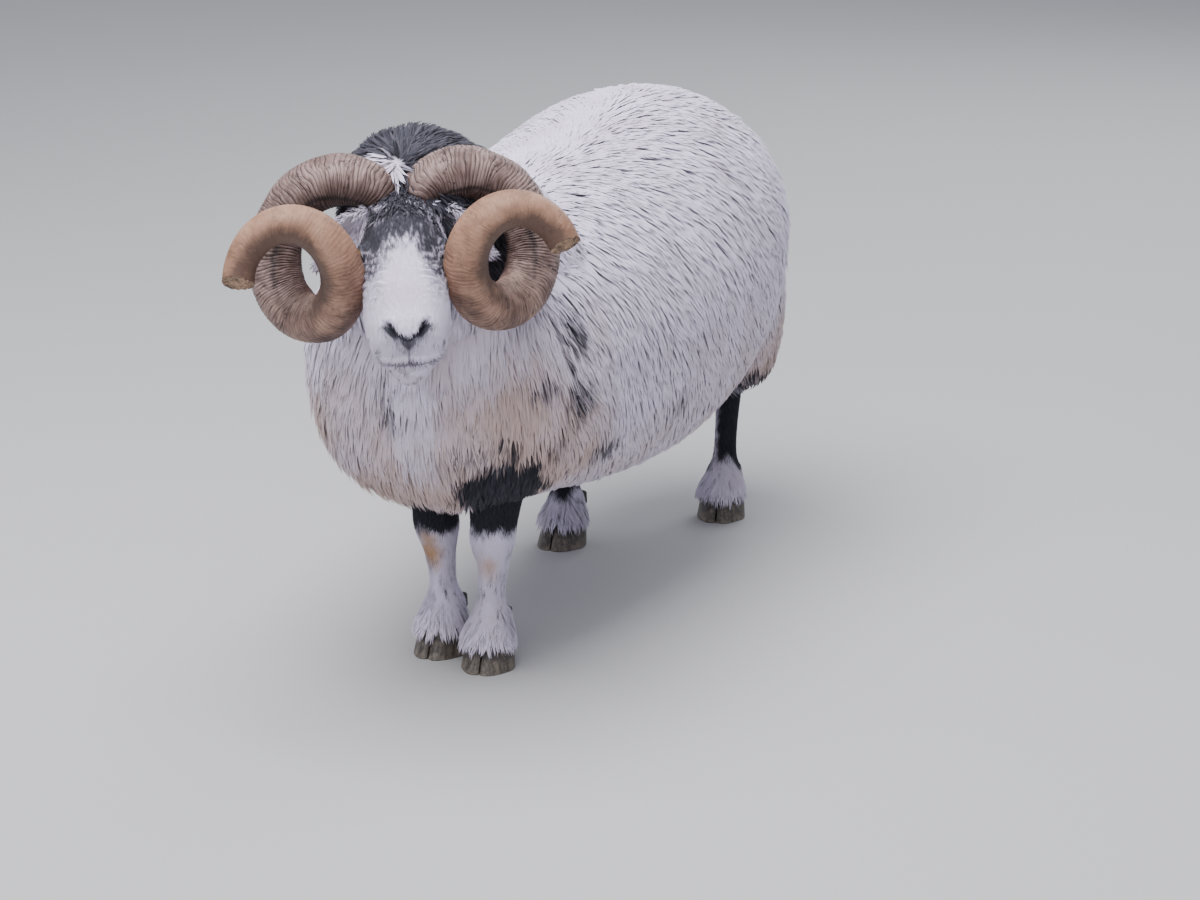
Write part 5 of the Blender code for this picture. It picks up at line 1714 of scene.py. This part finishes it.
@dataclass
class Horns:
    """Two ribbed horns that coil outwards, each with its tip sawn off."""

    centre: tuple = (0.074, 0.009, -0.076)
    axis_out: float = math.radians(26.6)
    axis_up: float = math.radians(19.3)
    coil_radius: float = 0.0875
    flattening: float = 0.847
    tightening: float = 0.245
    advance: float = 0.165
    slowing: float = 0.017
    start: float = math.radians(-35.0)
    turns: dict = field(default_factory=lambda: {1: 1.33, -1: 1.38})
    root: tuple = (0.018, 0.008, -0.040, 0.012)
    tube: tuple = (
        (0.0, 0.0265), (0.08, 0.0330), (0.45, 0.0335), (0.75, 0.0290), (1.0, 0.0258), (1.33, 0.0200),
    )
    sides: int = 46
    count: int = 780
    rib_spacing: float = 0.0043
    rib_height: float = 0.0011
    swell_spacing: float = 0.021
    cut_lean: float = 0.45

    def axis(self) -> np.ndarray:
        """Direction in which the left coil advances."""
        out, rise = self.axis_out, self.axis_up
        return np.array([math.cos(rise) * math.sin(out), -math.cos(rise) * math.cos(out), math.sin(rise)])

    def path(self, side: int) -> np.ndarray:
        """Centres and radii along one coil, from a narrow root sunk in the skull."""
        axis = self.axis()
        up = unit(np.array([0.0, 0.0, 1.0]) - axis[2] * axis)
        over = np.cross(up, axis)
        turns = np.linspace(0, self.turns[side], 30)
        angle = self.start + turns * 2 * math.pi
        radius = self.coil_radius * (1 - self.tightening * turns)
        advance = self.advance * turns - self.slowing * turns**2
        path = np.array(self.centre) + np.outer(advance, axis) + np.outer(radius * np.cos(angle), up)
        path += np.outer(radius * np.sin(angle) * self.flattening, over)
        coil = np.column_stack([path, np.interp(turns, *zip(*self.tube))])
        return smoothed(smoothed(np.vstack([self.root, coil]), 30), self.count)

    def build(self) -> None:
        """Make, dress and place both horns."""
        finish, sawn = HornFinish().material(), SawnFinish().material()
        for side, label in ((1, "left"), (-1, "right")):
            horn = self.horn(side, label)
            horn.data.materials.append(finish)
            horn.data.materials.append(sawn)
            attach(horn, "root")
            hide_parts(f"horn_{label}")
            log.info("%s: %d faces", horn.name, len(horn.data.polygons))

    def horn(self, side: int, label: str) -> bpy.types.Object:
        """One horn, its ribs raised in the mesh."""
        rows = self.path(side)
        length = np.concatenate([[0], np.cumsum(np.linalg.norm(np.diff(rows[:, :3], axis=0), axis=1))])
        share = length / length[-1]
        axis = self.axis()
        across, tall = oval(self.sides)
        turn = np.arange(self.sides) * 2 * math.pi / self.sides
        rings, ribs, inners, unders = [], [], [], []
        tangents = unit(np.gradient(rows[:, :3], axis=0))
        for row, tangent, along, part in zip(rows, tangents, length, share):
            one = unit(axis - tangent * axis.dot(tangent))
            two = np.cross(tangent, one)
            middle = np.array(self.centre) + axis * axis.dot(row[:3] - np.array(self.centre))
            outline = np.outer(across, one) + np.outer(tall, two)
            # how far inside the coil each point is, for the painted shade there, the keel line and deeper
            # ribs
            inner = 0.5 + 0.5 * outline @ unit(middle - row[:3])
            height, rib = self.ribs(along, part, turn, side, inner)
            rings.append(row[:3] + outline * (row[3] * self.section(turn) + height)[:, None])
            ribs.append(rib)
            inners.append(inner)
            # how far each point faces down, for the painted shade on the horn's undersides
            unders.append(ramp(-(outline @ HEAD[2, :3]), 0.15, 0.95))
        rings = self.cut(np.array(rings), rows[:, :3], tangents)
        last = rings[-1].mean(axis=0)
        for inset in (0.93, 0.6, 0.25):
            flat = last + (rings[self.count - 1] - last) * inset
            flat = flat + tangents[-1] * (0.0024 * value_noise(flat, 0.0035, 61) - 0.0006)[:, None]
            rings = np.concatenate([rings, flat[None]])
        obj = lofted(f"ribbed_horn_{label}", on_head(rings * np.array([side, 1, 1])))
        blank = np.zeros(3 * self.sides + 2)
        for name, values in (("rib", ribs), ("inner", inners), ("under", unders)):
            Fleece.store(obj.data, name, np.concatenate([np.concatenate(values), blank]))
        along = np.concatenate([np.repeat(share, self.sides), np.ones(3 * self.sides), [0, 1]])
        Fleece.store(obj.data, "along", along)
        first_flat = (self.count - 1) * self.sides
        sawn = [min(face.vertices) >= first_flat for face in obj.data.polygons]
        obj.data.polygons.foreach_set("material_index", np.array(sawn, np.int32))
        make_active(obj)
        bpy.ops.object.shade_smooth()
        return obj

    def cut(self, rings: np.ndarray, centres: np.ndarray, tangents: np.ndarray) -> np.ndarray:
        """Lean the sawn end towards the front and fray its rim."""
        front = unit(np.array([0.0, -1.0, 0.3]))
        tail = 26
        for step in range(tail):
            index = self.count - 1 - step
            part = (1 - step / tail) ** 2
            away = (rings[index] - centres[index]) @ front
            frayed = 0.0016 * value_noise(rings[index], 0.0022, 69) * part**3
            shift = -self.cut_lean * away / (1 + self.cut_lean * tangents[index].dot(front)) * part + frayed
            rings[index] += tangents[index] * shift[:, None]
        return rings

    def section(self, turn: np.ndarray) -> np.ndarray:
        """The outline across the horn, a little three-sided."""
        return 1 + 0.020 * np.cos(2 * turn) + 0.040 * np.cos(3 * turn + 0.6)

    def ribs(self, along: float, part: float, turn: np.ndarray, side: int,
             inner: np.ndarray) -> tuple[np.ndarray, np.ndarray]:
        """How far the surface stands out at one ring, and which rib it is on.

        Args:
            along: how far along the horn the ring is.
            part: the same, as a share of its length.
            turn: the angles of the ring's points.
            side: 1 on the left, -1 on the right.
            inner: how far inside the coil each point is.

        Returns:
            The heights, and the count of ribs up to each point.
        """
        round_it = np.column_stack([np.cos(turn), np.sin(turn)])

        def noise(wave: float, spread: float, seed: int) -> np.ndarray:
            """Noise drawn out round the horn, of a given wave along it."""
            place = np.column_stack([round_it * spread, np.full(self.sides, along / wave + 40 * side)])
            return value_noise(place, 1.0, seed)

        rib = along / self.rib_spacing + 1.1 * noise(0.026, 1.2, 62) + 0.45 * noise(0.010, 2.4, 63)
        swell = noise(self.swell_spacing, 0.7, 68)
        rough = noise(0.004, 7.0, 64)
        depth = ((1 + np.cos(2 * math.pi * rib)) / 2) ** 2 * (0.65 + 0.5 * noise(0.012, 2.0, 65))
        strength = 1 - 0.88 * ramp(np.full(self.sides, part), 0.55, 0.85)
        height = 0.0013 * swell - self.rib_height * (1 + ramp(inner, 0.55, 0.95)) * depth + 0.00030 * rough
        return strength * height, rib


@dataclass
class Eyes:
    """Two wet eyeballs behind the lids."""

    segments: int = 56
    rings: int = 36
    cornea: float = 0.0009

    def build(self) -> None:
        """Make, dress and place both eyes."""
        for side, label in ((1, "left"), (-1, "right")):
            eye = self.eye(side, label)
            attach(eye, "root")
            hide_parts(f"eye_{label}")
            log.info("%s", eye.name)

    def eye(self, side: int, label: str) -> bpy.types.Object:
        """One eyeball, its cornea raised towards the opening of the lids."""
        place = on_head(EYE.middle(side)[None])[0]
        axes = [HEAD[:3, :3] @ axis for axis in EYE.axes(side)]
        out, nose, rise = axes
        if np.linalg.det(np.column_stack([nose, rise, out])) < 0:
            nose = -nose
        deselect_all()
        bpy.ops.mesh.primitive_uv_sphere_add(segments=self.segments, ring_count=self.rings, radius=EYE.radius)
        obj = bpy.context.object
        obj.name = obj.data.name = f"eyeball_{label}"
        points = coordinates(obj)
        front = points[:, 2] / EYE.radius
        points *= (1 + self.cornea / EYE.radius * ramp(front, 0.72, 0.92))[:, None]
        put_coordinates(obj, points)
        turn = Matrix(np.column_stack([nose, rise, out]).tolist()).to_4x4()
        obj.data.transform(Matrix.Translation(place) @ turn)
        obj.data.materials.append(EyeFinish(f"eye_{label}", tuple(place), tuple(turn.to_euler())).material())
        make_active(obj)
        bpy.ops.object.shade_smooth()
        return obj


@dataclass
class Feet:
    """Cloven hooves and dewclaws."""

    length: float = 0.074
    width: float = 0.035
    height: float = 0.0385
    slope: float = 0.012
    top_scale: float = 0.86
    cleft: float = 0.0024
    flatness: float = 0.35
    toe_narrowing: float = 0.25
    sides: int = 48
    dew_radius: float = 0.0075
    dew_length: float = 0.020
    dew_place: tuple = (0.0145, 0.0325, 0.062)
    dew_lean: float = math.radians(28)
    # How far up the wall each ring is, and how far in it stands
    wall: tuple = ((0.0, 0.0012), (0.03, 0.0), (0.2, 0.0), (0.4, 0.0), (0.6, 0.0), (0.8, 0.0), (1.0, 0.0))

    def build(self) -> None:
        """Make, dress and place every claw and dewclaw."""
        finish = HoofFinish().material()
        for foot in FEET:
            for label, side in (("inner", -1), ("outer", 1)):
                sign = side if foot.endswith("left") else -side
                for kind, piece in (("claw", self.claw(foot, sign)), ("dewclaw", self.dewclaw(foot, sign))):
                    piece.name = piece.data.name = f"hoof_{foot}_{kind}_{label}"
                    piece.data.materials.append(finish)
                    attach(piece, "root")
                    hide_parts(f"{foot}_{kind}_{label}")
        log.info("hooves and dewclaws")

    def placed(self, foot: str) -> Matrix:
        """From a foot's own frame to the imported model's."""
        x, y, turn = FEET[foot]
        place = Vector((x, y, 0)) - Vector(STAND_POINT)
        return Matrix.Translation(place) @ Matrix.Rotation(turn, 4, "Z")

    def claw(self, foot: str, side: int) -> bpy.types.Object:
        """One claw, flat on the floor, with a worn edge and a wall that slopes back."""
        turn = np.arange(self.sides) * 2 * math.pi / self.sides
        across = np.maximum(np.cos(turn), -self.flatness) + self.flatness
        rings = []
        for share, inset in self.wall:
            scale = 1 + (self.top_scale - 1) * share
            width = across / (1 + self.flatness) * self.width * scale
            width *= 1 - self.toe_narrowing * np.maximum(np.sin(turn), 0)
            long = -np.sin(turn) * self.length / 2 * scale
            shrink = 1 - inset / self.width
            x = side * (self.cleft / 2 + width * shrink)
            y = long * shrink + self.slope * (share - 1)
            rings.append(np.column_stack([x, y, np.full(self.sides, share * self.height)]))
        rings = np.array(rings)
        place = np.array(self.placed(foot))
        flat = rings.reshape(-1, 3) @ place[:3, :3].T + place[:3, 3]
        obj = lofted("claw", flat.reshape(rings.shape))
        make_active(obj)
        bpy.ops.object.shade_smooth_by_angle(angle=math.radians(40))
        return obj

    def dewclaw(self, foot: str, side: int) -> bpy.types.Object:
        """A small blunt cone behind the pastern, its point rounded."""
        deselect_all()
        bpy.ops.mesh.primitive_cone_add(
            vertices=20, radius1=self.dew_radius * 0.5, radius2=self.dew_radius, depth=self.dew_length
        )
        obj = bpy.context.object
        apply_modifier(obj, "BEVEL", width=0.0022, segments=3, limit_method="ANGLE")
        x, y, z = self.dew_place
        lean = Matrix.Rotation(self.dew_lean, 4, "X")
        obj.data.transform(self.placed(foot) @ Matrix.Translation((side * x, y, z)) @ lean)
        make_active(obj)
        bpy.ops.object.shade_smooth()
        return obj


# Stage


@dataclass
class Studio:
    """Pale floor, soft lights and the photo's camera."""

    camera_place: tuple = (1.921, -4.773, 1.600)
    camera_turn: float = math.radians(21.0)
    camera_down: float = math.radians(14.97)
    lens: float = 117.0
    floor_size: float = 30.0
    # Name, place, size, power and colour
    lights: tuple = (
        ("top", (-0.4, -1.2, 4.0), 3.4, 325.0, (0.98, 0.97, 1.0)),
        ("front", (1.2, -5.0, 2.6), 3.2, 75.0, (1.0, 0.97, 0.97)),
        ("behind", (0.4, 4.0, 3.0), 3.0, 90.0, (0.96, 0.97, 1.0)),
    )
    aim: tuple = (0.0, 0.0, 0.40)
    sky: tuple = (0.84, 0.88, 1.0, 1.0)
    sky_strength: float = 0.56

    def build(self) -> None:
        """Set up the floor, lights, surroundings and camera."""
        deselect_all()
        bpy.ops.mesh.primitive_plane_add(size=self.floor_size)
        floor = bpy.context.object
        floor.name = "floor"
        floor.data.materials.append(FloorFinish().material())
        for light in self.lights:
            self.light(*light)
        self.surroundings()
        self.camera()

    def light(self, name: str, place: tuple, size: float, power: float, colour: Colour) -> None:
        """One soft square light that points at the middle of the ram."""
        data = bpy.data.lights.new(name, "AREA")
        data.shape = "SQUARE"
        data.size = size
        data.energy = power
        data.color = colour
        obj = bpy.data.objects.new(name, data)
        bpy.context.scene.collection.objects.link(obj)
        aim = Vector(self.aim) - Vector(place)
        obj.matrix_world = Matrix.Translation(place) @ aim.to_track_quat("-Z", "Y").to_matrix().to_4x4()

    def surroundings(self) -> None:
        """An even, faintly cool light from all round."""
        world = bpy.data.worlds.new("studio")
        world.use_nodes = True
        background = world.node_tree.nodes["Background"]
        background.inputs["Color"].default_value = self.sky
        background.inputs["Strength"].default_value = self.sky_strength
        bpy.context.scene.world = world

    def camera(self) -> None:
        """The photo's point of view."""
        data = bpy.data.cameras.new("photo_view")
        data.lens = self.lens
        data.sensor_width = 36.0
        data.sensor_fit = "HORIZONTAL"
        obj = bpy.data.objects.new("photo_view", data)
        bpy.context.scene.collection.objects.link(obj)
        tilt = Matrix.Rotation(math.pi / 2 - self.camera_down, 4, "X")
        turn = Matrix.Rotation(self.camera_turn, 4, "Z") @ tilt
        obj.matrix_world = Matrix.Translation(self.camera_place) @ turn
        bpy.context.scene.camera = obj


def main() -> None:
    """Build the ram piece by piece, then the studio."""
    logging.basicConfig(level=logging.INFO, format="%(message)s")
    hide = Hide()
    hide.build()
    dress_hide(hide)
    Wool(Fleece(hide)).build()
    Horns().build()
    Eyes().build()
    Feet().build()
    Studio().build()
    deselect_all()
    bpy.context.view_layer.update()


if __name__ == "__main__":
    main()
